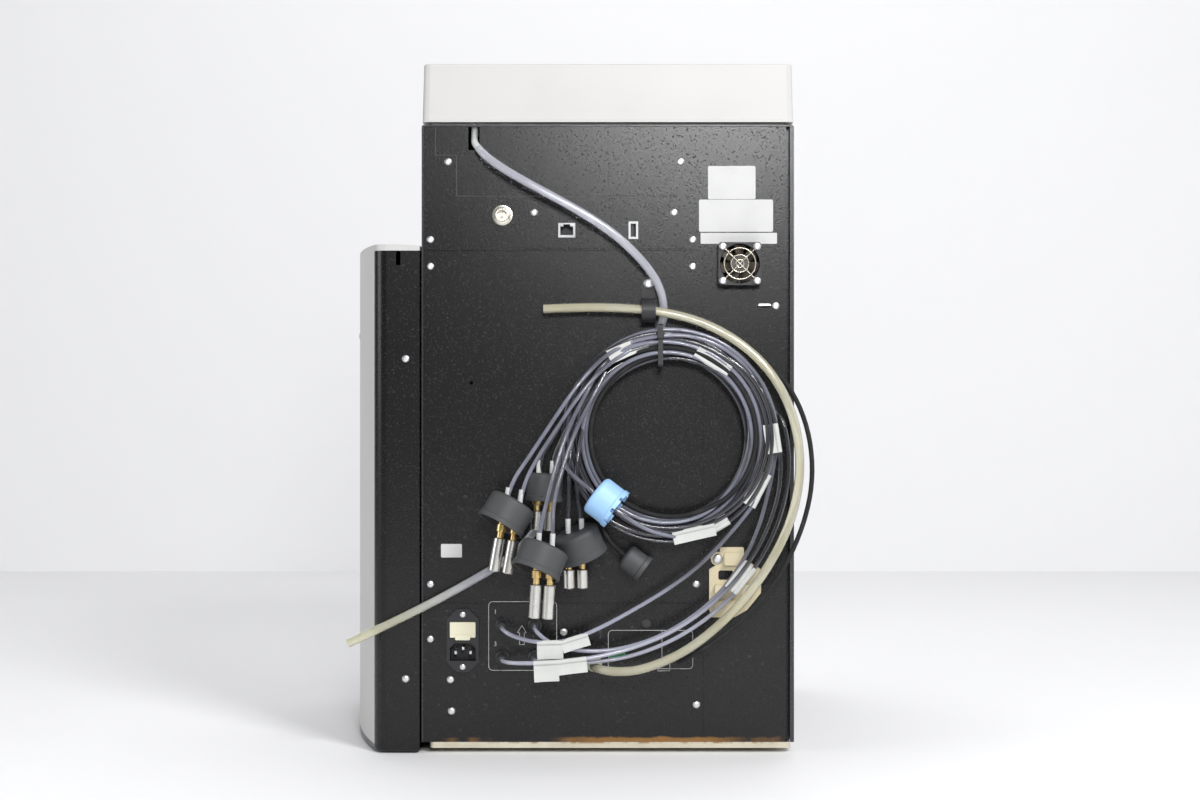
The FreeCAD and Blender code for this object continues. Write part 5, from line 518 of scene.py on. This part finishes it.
CABLE_IN = near((-105.2, 88.4), [(0, 16, 0), (0, 27, 0)]) + near(PORTS, [
    (-153.3, 35, -13.5), (-162.3, 39, -8), (-178.3, 38, 1.5), (-201.3, 34, 17.5),
]) + near(COIL, [
    (-85.1, 30.5, -151.1), (-107.6, 27, -120.6), (-125.6, 24.5, -81.1), (-134.6, 22.5, -40.1),
    (-131.6, 20, 3.9), (-116.1, 17.5, 43.9), (-91.1, 16, 70.9),
])
LEADS = [
    ((2.2, 0, 2.9), [
        (37.4, 25, 84), (57.9, 33, 72.9), (81.9, 40, 46.9), (104.9, 44, 12.9), (125.9, 47, -19.1),
    ]),
    ((2.6, 0, 2.5), [
        (61.1, 25, 63.3), (71.9, 36, 42.4), (88.9, 48, 9.9), (100.9, 56, -26.1), (108.9, 61, -58.1),
    ]),
    ((3.5, 0, 0.8), [(81.9, 23, 16.9), (85.9, 31, -3.1), (88.9, 35, -28.1), (88.4, 36.5, -54.1)]),
    ((3.2, 0, 1.8), [(72.9, 23, 49.2), (82.4, 28, 34.9), (92.9, 30, 18.9), (104.9, 28, -4.1)]),
]
CABLE_OUT = near(COIL, [(74.9, 22, -63.1), (65.9, 21, -77.6), (57.4, 20, -93.1), (50.0, 19.7, -102.4)])
CABLE_OUT.append(CABLE_OUT[-1] + Vector((-9.6, 1.2, -7.1)))

# %% [markdown]
# Each line ends in a pair of tubes that pass the roof of a dark bottle cap and screw into brass fittings. The
# frame holds the eight fittings as one node, so their tops can't be measured one by one. They are worked
# out as the solids have them, from each cap's middle, its axis and the way its pair hangs.
# %% Caps
CAPS = [
    ((148.6, 50.0, -68.8), (0.50, 0.22, -0.85), (0.17, 0.05, -0.985)),
    ((117.0, 67.5, -109.0), (0.38, 0.24, -0.89), (0.06, 0.0, -1.0)),
    ((83.1, 35.0, -97.8), (-0.36, -0.20, -0.91), (-0.02, -0.05, -1.0)),
    ((114.9, 27.5, -45.6), (0.05, 0.05, -1.0), (0.05, 0.05, -1.0)),
]
CAP_HEIGHT, CAP_ROOF, PAIR_PITCH, TUBE_START, LEAD_STRAIGHT = 26.0, 3.2, 12.4, 8.0, 16.0


def pair_ends(number):
    """For both tubes of a line: the last free point and the top of the brass fitting."""
    middle, axis, hang = CAPS[number]
    middle = near(COIL, [middle])[0]
    axis = Vector(axis).normalized()
    hang = Vector(hang).normalized()
    roof = middle + axis * (CAP_ROOF - CAP_HEIGHT / 2)
    side = hang.cross(Vector((0, 1, 0))).normalized() * (PAIR_PITCH / 2)
    return [[roof - hang * LEAD_STRAIGHT + s, roof + hang * TUBE_START + s] for s in (side, -side)]


def pair_path(number, which):
    """The way of one tube of a pair from the coil to its fitting."""
    spread, lead = LEADS[number]
    shift = Vector(spread) * (1, -1)[which]
    return [place + shift for place in near(COIL, lead)] + pair_ends(number)[which]


print("caps hang at", [tuple(round(v) for v in pair_ends(i)[0][1]) for i in range(4)])

# %% [markdown]
# Real tubing in a coil never shares its place with another turn, and it never repeats a perfect circle.
# A physics run could show that, but it is slow and hard to repeat. Here each strand starts as a slowly
# wandering circle, known by its radius and depth at 24 angles. WANDER holds the sizes and rates of two
# waves in radius and two in depth. A fixed seed for their phases keeps the result the same.
# %% A strand of the coil
STATIONS = 24
STEP = 2 * math.pi / STATIONS
INNER, OUTER, BACK, FACE = 70.5, 101.5, 14.8, 26.2
MEAN_RADIUS, MEAN_DEPTH = 86, 20.5
WANDER = ((8, 0.23), (6, 0.71), (4, 0.19), (2, 0.83))
END_MARGIN, EASE_STATIONS = 0.4, 6


def angle_of(place):
    """Where a place lies round the middle of the coil."""
    return math.atan2(place.z - COIL[1], place.x - COIL[0])


class Strand:
    """A tube's turns round the coil, as radius and depth at each angular station."""

    def __init__(self, start, end, turns, half, seed):
        first = math.floor(angle_of(start) / STEP - END_MARGIN)
        last = math.ceil(angle_of(end) / STEP + END_MARGIN)
        while last > first:
            last -= STATIONS
        last -= STATIONS * turns
        self.index = np.arange(first, last - 1, -1)
        self.half = half
        rng = np.random.default_rng(seed)
        phase = rng.uniform(0, 2 * math.pi, 4)
        angle = self.index * STEP
        wave = [size * np.sin(rate * angle + p) for (size, rate), p in zip(WANDER, phase)]
        radius = MEAN_RADIUS + wave[0] + wave[1]
        depth = MEAN_DEPTH + wave[2] + wave[3]
        ends = np.array([[math.hypot(p.x - COIL[0], p.z - COIL[1]), p.y - Y_REAR] for p in (start, end)])
        self.spot = np.stack([radius, depth], axis=1)
        ramp = np.clip(1 - np.arange(len(angle)) / EASE_STATIONS, 0, 1)[:, None]
        self.spot += (ends[0] - self.spot[0]) * ramp + (ends[1] - self.spot[-1]) * ramp[::-1]

    def places(self):
        out = []
        for i, (radius, depth) in zip(self.index, self.spot):
            x = COIL[0] + radius * math.cos(i * STEP)
            z = COIL[1] + radius * math.sin(i * STEP)
            out.append(Vector((x, Y_REAR + depth, z)))
        return out


print("a strand is known at", STATIONS, "angles a turn")

# %% [markdown]
# Where strands pass the same angle they are pushed apart, then each is smoothed along its length, and
# again. At one angle the middles of the tubes are points in a plane, so numpy compares every pair in one
# step. The push is soft and repeated, because a full correction of one pair would drive a third away. GIVE
# is how far a turn may stand out of the ring's section.
# %% Wind the coil
SPACE_BETWEEN, GIVE, PUSH, SMOOTH = 0.15, 2, 0.7, 0.25


def settle(strands, rounds):
    """Pushes strands apart station by station, then smooths each one, again and again."""
    owner = np.concatenate([np.full(len(s.index), k) for k, s in enumerate(strands)])
    half = np.concatenate([np.full(len(s.index), s.half) for s in strands])
    station = np.concatenate([s.index % STATIONS for s in strands])
    groups = [np.flatnonzero(station == k) for k in range(STATIONS)]
    spot = np.concatenate([s.spot for s in strands])
    for turn in range(rounds):
        for group in groups:
            here = spot[group]
            gap = here[:, None, :] - here[None, :, :]
            away = np.sqrt((gap ** 2).sum(2)) + 1e-6
            want = half[group][:, None] + half[group][None, :] + SPACE_BETWEEN
            push = np.clip(want - away, 0, None) * 0.5
            np.fill_diagonal(push, 0)
            spot[group] += (gap / away[:, :, None] * push[:, :, None]).sum(1) * PUSH
        for k in range(len(strands)):
            mine = np.flatnonzero(owner == k)
            part = spot[mine]
            part[1:-1] += ((part[:-2] + part[2:]) / 2 - part[1:-1]) * SMOOTH
            spot[mine] = part
        spot[:, 0] = np.clip(spot[:, 0], INNER + half - GIVE, OUTER - half + GIVE)
        spot[:, 1] = np.clip(spot[:, 1], BACK + half - GIVE, FACE - half + GIVE)
    for k, s in enumerate(strands):
        s.spot = spot[owner == k]
    worst = 1e9
    for group in groups:
        here = spot[group]
        away = np.sqrt(((here[:, None] - here[None]) ** 2).sum(2)) + np.eye(len(group)) * 1e3
        worst = min(worst, (away - half[group][:, None] - half[group][None, :]).min())
    return worst


LINE_RADIUS, CABLE_RADIUS, DRAIN_RADIUS, WASTE_RADIUS = 2.0, 2.25, 4.0, 4.25
LINE_TURNS, CABLE_TURNS = 4, 2
QUICK_ROUNDS, FULL_ROUNDS = 40, 260
strands = [Strand(LINES_IN[k][-1], pair_path(k, 0)[0], LINE_TURNS, LINE_RADIUS, 11 + k) for k in range(4)]
strands.append(Strand(CABLE_IN[-1], CABLE_OUT[0], CABLE_TURNS, CABLE_RADIUS, 29))
closest = settle(strands, FULL_ROUNDS)
print("strands wound, smallest space between two:", round(float(closest), 2), "mm")

# %% [markdown]
# The moving pieces of the frame turn and slide, and whatever is added must know which body it belongs to.
# All that follows is fixed to the housing, so one helper links an object and another lets it ride there. Two
# more make the only kinds of data needed: a round bar along a spline, and a mesh from points in millimetres.
# %% Adding objects
def link(name, data):
    """Links a new object that holds this data."""
    made = bpy.data.objects.new(name, data)
    bpy.context.scene.collection.objects.link(made)
    return made


def add(name, data):
    """Links a new object that rides on the instrument."""
    made = link(name, data)
    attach(made, "instrument")
    return made


def round_bar(name, kind, places, radius, look):
    """A curve of one spline with a round, capped section."""
    curve = bpy.data.curves.new(name, "CURVE")
    curve.dimensions = "3D"
    spline = curve.splines.new(kind)
    spline.points.add(len(places) - 1)
    for knot, place in zip(spline.points, places):
        knot.co = (*(place * MM), 1)
    curve.bevel_depth = radius * MM
    curve.bevel_resolution = 3
    curve.use_fill_caps = True
    curve.materials.append(looks[look])
    return curve, spline


def sheet(name, points, faces, look):
    """A mesh in one look, from points in millimetres."""
    mesh = bpy.data.meshes.new(name)
    mesh.from_pydata([(x * MM, y * MM, z * MM) for x, y, z in points], [], faces)
    mesh.materials.append(looks[look])
    return add(name, mesh)


print("helpers: link, add, round_bar and sheet")

# %% [markdown]
# A tube could be a swept mesh, but a curve with a round bevel is lighter, keeps its section through every
# bend, and can be measured. The spline is quadratic, so its length is easy to add up from the control points.
# %% How a tube is drawn
tubes = {}
PARTS = 12


def spline_length(places):
    """Length of the quadratic spline that these control points give."""
    total = 0.0
    here = places[0]
    for i in range(1, len(places) - 1):
        start = places[0] if i == 1 else (places[i - 1] + places[i]) / 2
        end = places[-1] if i == len(places) - 2 else (places[i] + places[i + 1]) / 2
        for step in range(1, PARTS + 1):
            t = step / PARTS
            there = start * (1 - t) ** 2 + places[i] * 2 * t * (1 - t) + end * t * t
            total += (there - here).length
            here = there
    return total


def tube(name, places, radius, look, resolution=5):
    """A flexible tube along control points, remembered so that flags can find it."""
    curve, spline = round_bar(name, "NURBS", places, radius, look)
    spline.order_u = 3
    spline.use_endpoint_u = True
    spline.resolution_u = resolution
    made = add(name, curve)
    tubes[name] = (places, radius)
    return made


print("tubes are drawn as splines of order 3")

# %% [markdown]
# The two wide tubes are on their own. The drain tube comes out of the slot below the tray, runs behind the
# coil and ends open at the left. The waste tube leaves its port, goes round outside the coil and ends
# straight, pointing left, above it. Both are stiff, so their control points make wide bends only.
# %% Drain and waste tube
DRAIN = near(SLOT, [
    (-5.3, 8, -21.5), (-10.1, 16.6, -27.8), (-26.4, 21, -40), (-48.4, 23, -53), (-75.4, 23, -67.5),
    (-104.4, 22, -83.5), (-132.4, 20.5, -102),
]) + near(COIL, [
    (25.9, 18, 166.9), (9.4, 12.5, 144.9), (3.4, 8, 122.9), (5.9, 5.4, 100.9), (22.9, 5.2, 83.4),
    (50.9, 5.2, 67.9), (77.9, 5.2, 46.9), (93.9, 5.2, 16.9), (99.9, 5.2, -16.1), (105.9, 5.2, -50.1),
    (120.9, 5.2, -84.1), (145.9, 5.2, -112.1), (187.9, 8.5, -137.1), (242.9, 13, -166.1),
    (298.9, 16, -192.1),
])
WASTE = near((-26.3, 83.7), [(0, 14, 0), (0, 29, 0)]) + near(PORTS, [
    (-78.1, 42, -21.5), (-91.3, 49.5, -22.3), (-110.3, 50.5, -21.1), (-130.3, 50, -15),
    (-154.3, 48.5, -4), (-179.3, 46.5, 14),
]) + near(COIL, [
    (-65.1, 44, -153.1), (-93.1, 41.5, -116.6), (-114.6, 38.5, -72.6), (-122.6, 35.5, -26.1),
    (-116.1, 32, 21.4), (-95.1, 28, 62.4), (-64.1, 22, 90.9), (-28.1, 18.5, 109.4), (11.9, 17.5, 118.4),
    (46.9, 16.5, 120.9), (81.9, 15.5, 121.4), (116.5, 15, 119.9),
])

FINE = 8
drain = tube("drain_tube_visual", DRAIN, DRAIN_RADIUS, "drain_tube", FINE)
waste = tube("waste_tube_visual", WASTE, WASTE_RADIUS, "waste_tube", FINE)
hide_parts("drain_tube")
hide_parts("waste_tube")
print("drain and waste tube:", round(spline_length(DRAIN)), "and", round(spline_length(WASTE)), "mm")

# %% [markdown]
# Each solvent line is a single curve from its port through the turns of the coil to its cap, as the real
# tube is. Joining a straight tube to a ready-made ring would be quicker, but the seam would show. The
# second tube of each pair is short and starts where the coil is left. The cable is wound with them.
# %% Lines and cable
for k in range(4):
    path = LINES_IN[k] + strands[k].places() + pair_path(k, 0)
    name = f"solvent_line_{k + 1}"
    # Lines 3 and 4 take the copy that is painted darker, as shade in the coil.
    look = "line_tube" if k < 2 else "dark_line_tube"
    line = tube(name + "_visual", path, LINE_RADIUS, look)
    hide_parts(name, "tubing_coil")
    spline_length(path) * MM
    path[0] * MM
    twin_path = pair_path(k, 1)
    twin = tube(name + "_second_tube", twin_path, LINE_RADIUS, look, FINE)
    spline_length(twin_path) * MM
    twin_path[0] * MM
cable_path = CABLE_IN + strands[4].places() + CABLE_OUT
cable = tube("sensor_cable_visual", cable_path, CABLE_RADIUS, "cable")
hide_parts("sensor_cable", "tubing_coil")
spline_length(cable_path) * MM
cable_path[0] * MM

# %% [markdown]
# A pale blue cap is threaded on one turn of tube, which leaves the coil for it. Bending a wound strand that
# far would pull its neighbours along, so this turn is a short tube of its own that starts and ends inside
# the coil, where its ends can't be seen.
# %% The turn through the blue cap
blue_axis = Vector((-0.79, 0.12, -0.60)).normalized()
blue_middle = near(COIL, [(58.2, 53.0, -57.6)])[0]
BRIDGE = near(COIL, [(97.4, 22, -4.1), (98.4, 34, -15.1), (94.9, 45, -28.1), (80.3, 49.6, -40.8)])
BRIDGE.append(blue_middle + blue_axis * 4.0)
BRIDGE += near(COIL, [(39.4, 55.8, -71.9), (23.9, 48, -82.1), (7.9, 36, -89.1), (-7.1, 24, -92.1)])
bridge = tube("blue_cap_turn", BRIDGE, LINE_RADIUS, "line_tube", FINE)
round(spline_length(BRIDGE) * MM, 3)
print("blue cap turn:", round(spline_length(BRIDGE)), "mm")

# %% [markdown]
# Someone labelled the lines with strips of paper, each folded round a tube with its ends stuck together. A
# plain rectangle would cut through the tube, so a flag's section runs round the tube and comes back
# beside itself, and it curls a little more at its corners. A flag only names a spot in the picture. It
# takes the tube that passes nearest to that spot and lies in front, so it follows any change of the coil.
# %% How a flag is folded
FLAG_REACH, FRONT_BIAS = 34, 0.3
FLAG_THICKNESS, PAPER_GAP, LEAF_FRONT, LEAF_BACK = 0.16, 0.2, 0.25, -0.1
FOLD_START, FOLD_STEP, FOLD_POINTS, FLAG_ROWS = 165, 27.5, 13, 5
UNFLAGGED = ("drain_tube_visual", "waste_tube_visual", "sensor_cable_visual")


def nearest_tube(x, z):
    """The tube point nearest to a spot, the frontmost of those that pass it, with its direction."""
    best = None
    for name, (places, radius) in tubes.items():
        if name in UNFLAGGED:
            continue
        for i in range(1, len(places) - 1):
            middle = (places[i - 1] + places[i] * 6 + places[i + 1]) / 8
            away = math.hypot(middle.x - x, middle.z - z)
            score = away - FRONT_BIAS * (middle.y - Y_REAR)
            if away < FLAG_REACH and (best is None or score < best[0]):
                best = (score, middle, (places[i + 1] - places[i - 1]).normalized(), radius, name)
    return best[1:]


def flag(name, x, z, length, height, curl=1.0, side=1):
    """A strip of paper folded round the nearest tube; returns that tube's name."""
    middle, along, radius, owner = nearest_tube(x, z)
    out = Vector((0, 1, 0)).cross(along).normalized() * side
    lift = along.cross(out).normalized()
    if lift.y < 0:
        lift = -lift
    section = []
    for k in range(FOLD_POINTS):
        angle = math.radians(FOLD_START - k * FOLD_STEP)
        section.append((-(radius + PAPER_GAP) * math.cos(angle), (radius + PAPER_GAP) * math.sin(angle)))
    section = [(height, LEAF_FRONT + curl), (height * 0.5, LEAF_FRONT + curl * 0.3)] + section
    section = section + [(height * 0.5, LEAF_BACK + curl * 0.3), (height, LEAF_BACK + curl)]
    points = []
    for row in range(FLAG_ROWS):
        t = row / (FLAG_ROWS - 1) - 0.5
        for u, v in section:
            bend = 0.8 * curl * (u / height) * (4 * t * t)
            points.append(middle + along * (t * length) + out * u + lift * (v + bend))
    count = len(section)
    faces = []
    for row in range(FLAG_ROWS - 1):
        for k in range(count - 1):
            a = row * count + k
            faces.append((a, a + 1, a + count + 1, a + count))
    thick = sheet(name, points, faces, "flag_paper").modifiers.new("thickness", "SOLIDIFY")
    thick.thickness = FLAG_THICKNESS * MM
    thick.offset = 0
    return owner


print("a flag is", FLAG_THICKNESS, "mm thick and reaches a tube within", FLAG_REACH, "mm")

# %% [markdown]
# The flags' places are read off the photograph: x and z of the spot, length along the tube, height, and
# the side of the tube that the paper points to. The four by the ports hang down.
# %% Paper flags in their places
FLAGS = [
    (13, 107, 24, 15, -1), (-6, 107, 26, 10, -1), (22, 86, 23, 17, -1), (-9, 87, 27, 12, -1),
    (-55, 386, 38, 11, 1), (-140, 365, 36, 9, -1), (-207, 292, 27, 12, 1), (-189, 250, 34, 12, 1),
    (-110, 207, 40, 10, -1), (-152, 212, 20, 9, 1), (-198, 160, 30, 12, 1), (-30, 226, 20, 6, -1),
]
for number, (x, z, length, height, side) in enumerate(FLAGS):
    owner = flag(f"paper_flag_{number + 1}", x, z, length, height, 1.0 + 0.3 * (number % 3), side)
    print("flag", number + 1, "on", owner)

# %% [markdown]
# White shrink sleeves grip the tubes just above the dark caps. A sleeve follows its tube exactly, so it is
# built from the same two end points, a little thicker and shorter, and needs no fitting by eye.
# %% Sleeves
SLEEVE_SHARES, SLEEVE_RADIUS = (0.05, 0.62), 2.5


def sleeve(name, start, end):
    """A short tube round a run of a longer one, between two shares of that run."""
    places = [start + (end - start) * share for share in SLEEVE_SHARES]
    add(name, round_bar(name, "POLY", places, SLEEVE_RADIUS, "sleeve")[0])


for k in range(4):
    for which in (0, 1):
        sleeve(f"sleeve_{k + 1}_{which + 1}", *pair_ends(k)[which])
print("sleeves: 8")

# %% [markdown]
# The panels are screen printed, and carry film labels, which are blank here. Print could be part of the
# paint's material, but thin lines in a texture turn blurred when one looks closely. As flat pieces a
# few hundredths of a millimetre in front of the panel they stay sharp, and labels get a real thickness.
# %% How marks and labels are made
PRINT_LIFT, PRINT_WIDTH, NUMBER_SIZE = 0.04, 0.5, 6.0
CORNER_POINTS = 5


def rounded(xs, zs, radius):
    """Corner points of a rounded rectangle, anticlockwise as (x, z)."""
    outline = []
    for cx, cz, start in (
        (xs[1] - radius, zs[1] - radius, 0), (xs[0] + radius, zs[1] - radius, 90),
        (xs[0] + radius, zs[0] + radius, 180), (xs[1] - radius, zs[0] + radius, 270),
    ):
        for k in range(CORNER_POINTS):
            angle = math.radians(start + k * 90 / (CORNER_POINTS - 1))
            outline.append((cx + radius * math.cos(angle), cz + radius * math.sin(angle)))
    return outline


def printed_frame(name, xs, zs, radius):
    """A printed line round a rounded rectangle."""
    outer = rounded(xs, zs, radius)
    inner_xs, inner_zs = ((low + PRINT_WIDTH, high - PRINT_WIDTH) for low, high in (xs, zs))
    inner = rounded(inner_xs, inner_zs, max(radius - PRINT_WIDTH, 0.01))
    y = Y_REAR + PRINT_LIFT
    points = [(x, y, z) for x, z in outer + inner]
    n = len(outer)
    faces = [(k, (k + 1) % n, n + (k + 1) % n, n + k) for k in range(n)]
    sheet(name, points, faces, "print")


def stroke(name, start, end, look="print"):
    """A straight thin line, printed unless another look is named."""
    a, b = Vector(start), Vector(end)
    side = Vector((-(b - a).y, (b - a).x)).normalized() * PRINT_WIDTH / 2
    y = Y_REAR + PRINT_LIFT
    points = [(p.x, y, p.y) for p in (a - side, b - side, b + side, a + side)]
    sheet(name, points, [(0, 1, 2, 3)], look)


def sticker(name, xs, zs, radius=1.5, thickness=0.15):
    """A film label with rounded corners and a real edge."""
    outline = rounded(xs, zs, radius)
    n = len(outline)
    y = Y_REAR + thickness
    points = [(x, y, z) for x, z in outline] + [(x, Y_REAR + 0.01, z) for x, z in outline]
    faces = [tuple(range(n))] + [(k, (k + 1) % n, n + (k + 1) % n, n + k) for k in range(n)]
    sheet(name, points, faces, "label_film")


def number_mark(name, text, x, z):
    """A plain printed number, centred on its spot."""
    curve = bpy.data.curves.new(name, "FONT")
    curve.body = text
    curve.size = NUMBER_SIZE * MM
    curve.align_x = "CENTER"
    curve.align_y = "CENTER"
    curve.materials.append(looks["print"])
    made = link(name, curve)
    made.location = (x * MM, (Y_REAR + PRINT_LIFT) * MM, z * MM)
    made.rotation_euler = (math.pi / 2, 0, math.pi)
    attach(made, "instrument")


print("print stands", PRINT_LIFT, "mm in front of the panel")

# %% [markdown]
# The marks that are kept say nothing but where things are: rounded frames round the ports, an arrow, and the
# numbers 1 to 4. The edge of the upper cover plate gets a thin grey line, a painted highlight where that edge
# catches the light. The labels stay blank, and a strip of metal shows through the long slot.
# %% Printed marks and blank labels
printed_frame("port_frame", (8.5, 72.9), (76.5, 141.5), 4.0)
printed_frame("signal_frame", (-119.4, -39.5), (78.0, 114.6), 4.0)
printed_frame("signal_subframe", (-97.8, -86.1), (76.0, 86.0), 0.6)
stroke("signal_divider", (-90.2, 86.0), (-90.2, 114.3))
for number, (x, z) in enumerate([(66.4, 131.6), (14.6, 131.6), (66.4, 101.4), (14.6, 101.4)]):
    number_mark(f"port_number_{number + 1}", str(number + 1), x, z)
ARROW = {
    "left": ((43.6, 101.0), (43.6, 112.0)),
    "right": ((39.2, 101.0), (39.2, 112.0)),
    "foot": ((43.8, 101.0), (39.0, 101.0)),
    "slope_a": ((45.6, 112.0), (41.4, 119.0)),
    "slope_b": ((41.4, 119.0), (37.2, 112.0)),
    "brim_a": ((45.8, 112.0), (43.4, 112.0)),
    "brim_b": ((39.4, 112.0), (37.0, 112.0)),
}
for part, (start, end) in ARROW.items():
    stroke("arrow_" + part, start, end)
# Painted highlight: thin grey strokes along the upper cover plate's edge, where it catches the light.
looks["worn_edge"] = satin_paint("Worn_edge", (0.11, 0.11, 0.11))
cover_edge = [(122.5, 587.0), (122.5, 561.0), (102.8, 561.0), (102.8, 522.5), (-103.4, 522.5)]
for number, (start, end) in enumerate(zip(cover_edge, cover_edge[1:])):
    stroke(f"cover_edge_highlight_{number + 1}", start, end, "worn_edge")
sticker("blank_label_a", (-178.1, -133.5), (519.6, 550.8))
sticker("blank_label_b", (-194.6, -125.0), (488.9, 519.2))
sticker("blank_label_c", (-198.3, -126.5), (477.6, 487.9), 0.8)
sticker("blank_label_d", (97.8, 117.5), (182.8, 195.5), 1.0)
TAB_XS, TAB_ZS, TAB_DEPTH = (-193.8, -180.2), (419.3, 422.5), 0.7
corners = [(0, 0), (1, 0), (1, 1), (0, 1)]
tab = [(TAB_XS[i], Y_REAR - TAB_DEPTH, TAB_ZS[k]) for i, k in corners]
sheet("tab_behind_the_slot", tab, [(0, 1, 2, 3)], "bright_metal")
print("printed marks and blank labels made")

# %% [markdown]
# The instrument stood on a pale bench before a pale wall. A single white floor and one wall say enough. The
# wall is seen from its front only, so that a view from the other side isn't blocked by its back.
# %% Floor and wall
room = Paint("Room_white", (0.8, 0.8, 0.8), 0.7)
room.set("Base Color", room.blend(room.noise(3.0, 3.0) * 0.3, (0.82, 0.82, 0.83), (0.78, 0.78, 0.79)))


def plane(name, size, place, turn, material):
    """A square of the stage."""
    half = size / 2
    outline = [(-half, -half, 0), (half, -half, 0), (half, half, 0), (-half, half, 0)]
    mesh = bpy.data.meshes.new(name)
    mesh.from_pydata(outline, [], [(0, 1, 2, 3)])
    mesh.materials.append(material)
    made = link(name, mesh)
    made.location = place
    made.rotation_euler = turn


def one_sided(paint):
    """A wall that is only there for whoever looks at its front."""
    behind = paint.node("ShaderNodeNewGeometry", "Backfacing")
    clear = paint.node("ShaderNodeBsdfTransparent")
    paint.show(paint.node("ShaderNodeMixShader", 0, None, {0: behind, 1: paint.shader, 2: clear}))
    return paint


wall_paint = one_sided(Paint("Wall_white", (0.8, 0.8, 0.81), 0.8))
ROOM_SIZE, FLOOR_GAP, WALL_DISTANCE = 9.0, 0.0005, 1.6
plane("Floor", ROOM_SIZE, (0, 0, -FLOOR_GAP), (0, 0, 0), room.material)
plane("Wall", ROOM_SIZE, (0, -WALL_DISTANCE, 0), (-math.pi / 2, 0, 0), wall_paint.material)
print("stage pieces: 2, each", ROOM_SIZE, "m wide")

# %% [markdown]
# Black textured panels are lit by what they mirror. A high key light from the right shapes the tubes, and a
# small box just above the camera lies near the mirror direction of the upper panels, where the photograph
# shows the sheen. Weak wide boxes fill the sides and the top, so that no pale surface burns out.
# %% Lights
AIM = Vector((0, 0, 0.3))


def softbox(name, place, size, power):
    """A square area light in metres and watts that looks at the instrument."""
    light = bpy.data.lights.new(name, "AREA")
    light.shape = "SQUARE"
    light.size = size
    light.energy = power
    made = link(name, light)
    made.location = place
    made.rotation_euler = (AIM - Vector(place)).to_track_quat("-Z", "Y").to_euler()


softbox("Key", (-1.1, 1.9, 1.9), 0.6, 46.0)
softbox("Sheen", (-0.25, 2.6, 1.08), 0.45, 24.0)
softbox("Left_fill", (2.4, 1.0, 1.0), 1.4, 20.0)
softbox("Right_fill", (-2.4, 0.4, 1.1), 1.4, 14.0)
softbox("Top", (0.0, -0.6, 2.4), 1.6, 20.0)
print("lights:", [(lamp.name, round(lamp.energy)) for lamp in bpy.data.lights])

# %% [markdown]
# The backdrop has to look white while adding little light, or the black paint would turn grey. One world
# can't do both with a single background, so rays from the camera see a bright one and all others a dim one.
# The lens and its shift are fitted to the photograph, which was taken straight on.
# %% World and camera
world = bpy.data.worlds.new("Studio")
world.use_nodes = True
sky = world.node_tree
lit = sky.nodes["Background"]
feed(sky, lit.inputs["Color"], (0.96, 0.97, 1.0, 1.0))
feed(sky, lit.inputs["Strength"], 0.22)
seen = add_node(sky, "ShaderNodeBackground", 0, None, {"Color": (0.8, 0.8, 0.805, 1.0)})
by_camera = add_node(sky, "ShaderNodeLightPath", "Is Camera Ray")
both = {0: by_camera, 1: Signal(sky, lit.outputs[0]), 2: seen}
feed(sky, sky.nodes["World Output"].inputs["Surface"], add_node(sky, "ShaderNodeMixShader", 0, None, both))
bpy.context.scene.world = world
bpy.context.scene.view_settings.view_transform = "Standard"

camera = bpy.data.cameras.new("Camera")
camera.lens = 63.84
camera.sensor_width = 36.0
camera.shift_x = -0.0175
camera.shift_y = -0.0242
view = link("Camera", camera)
CAMERA_DISTANCE = 2.0
view.location = (-0.0517, Y_REAR * MM + CAMERA_DISTANCE, 0.3581)
view.rotation_euler = (math.pi / 2, 0, math.pi)
bpy.context.scene.camera = view
print("camera at", [round(v, 3) for v in view.location])
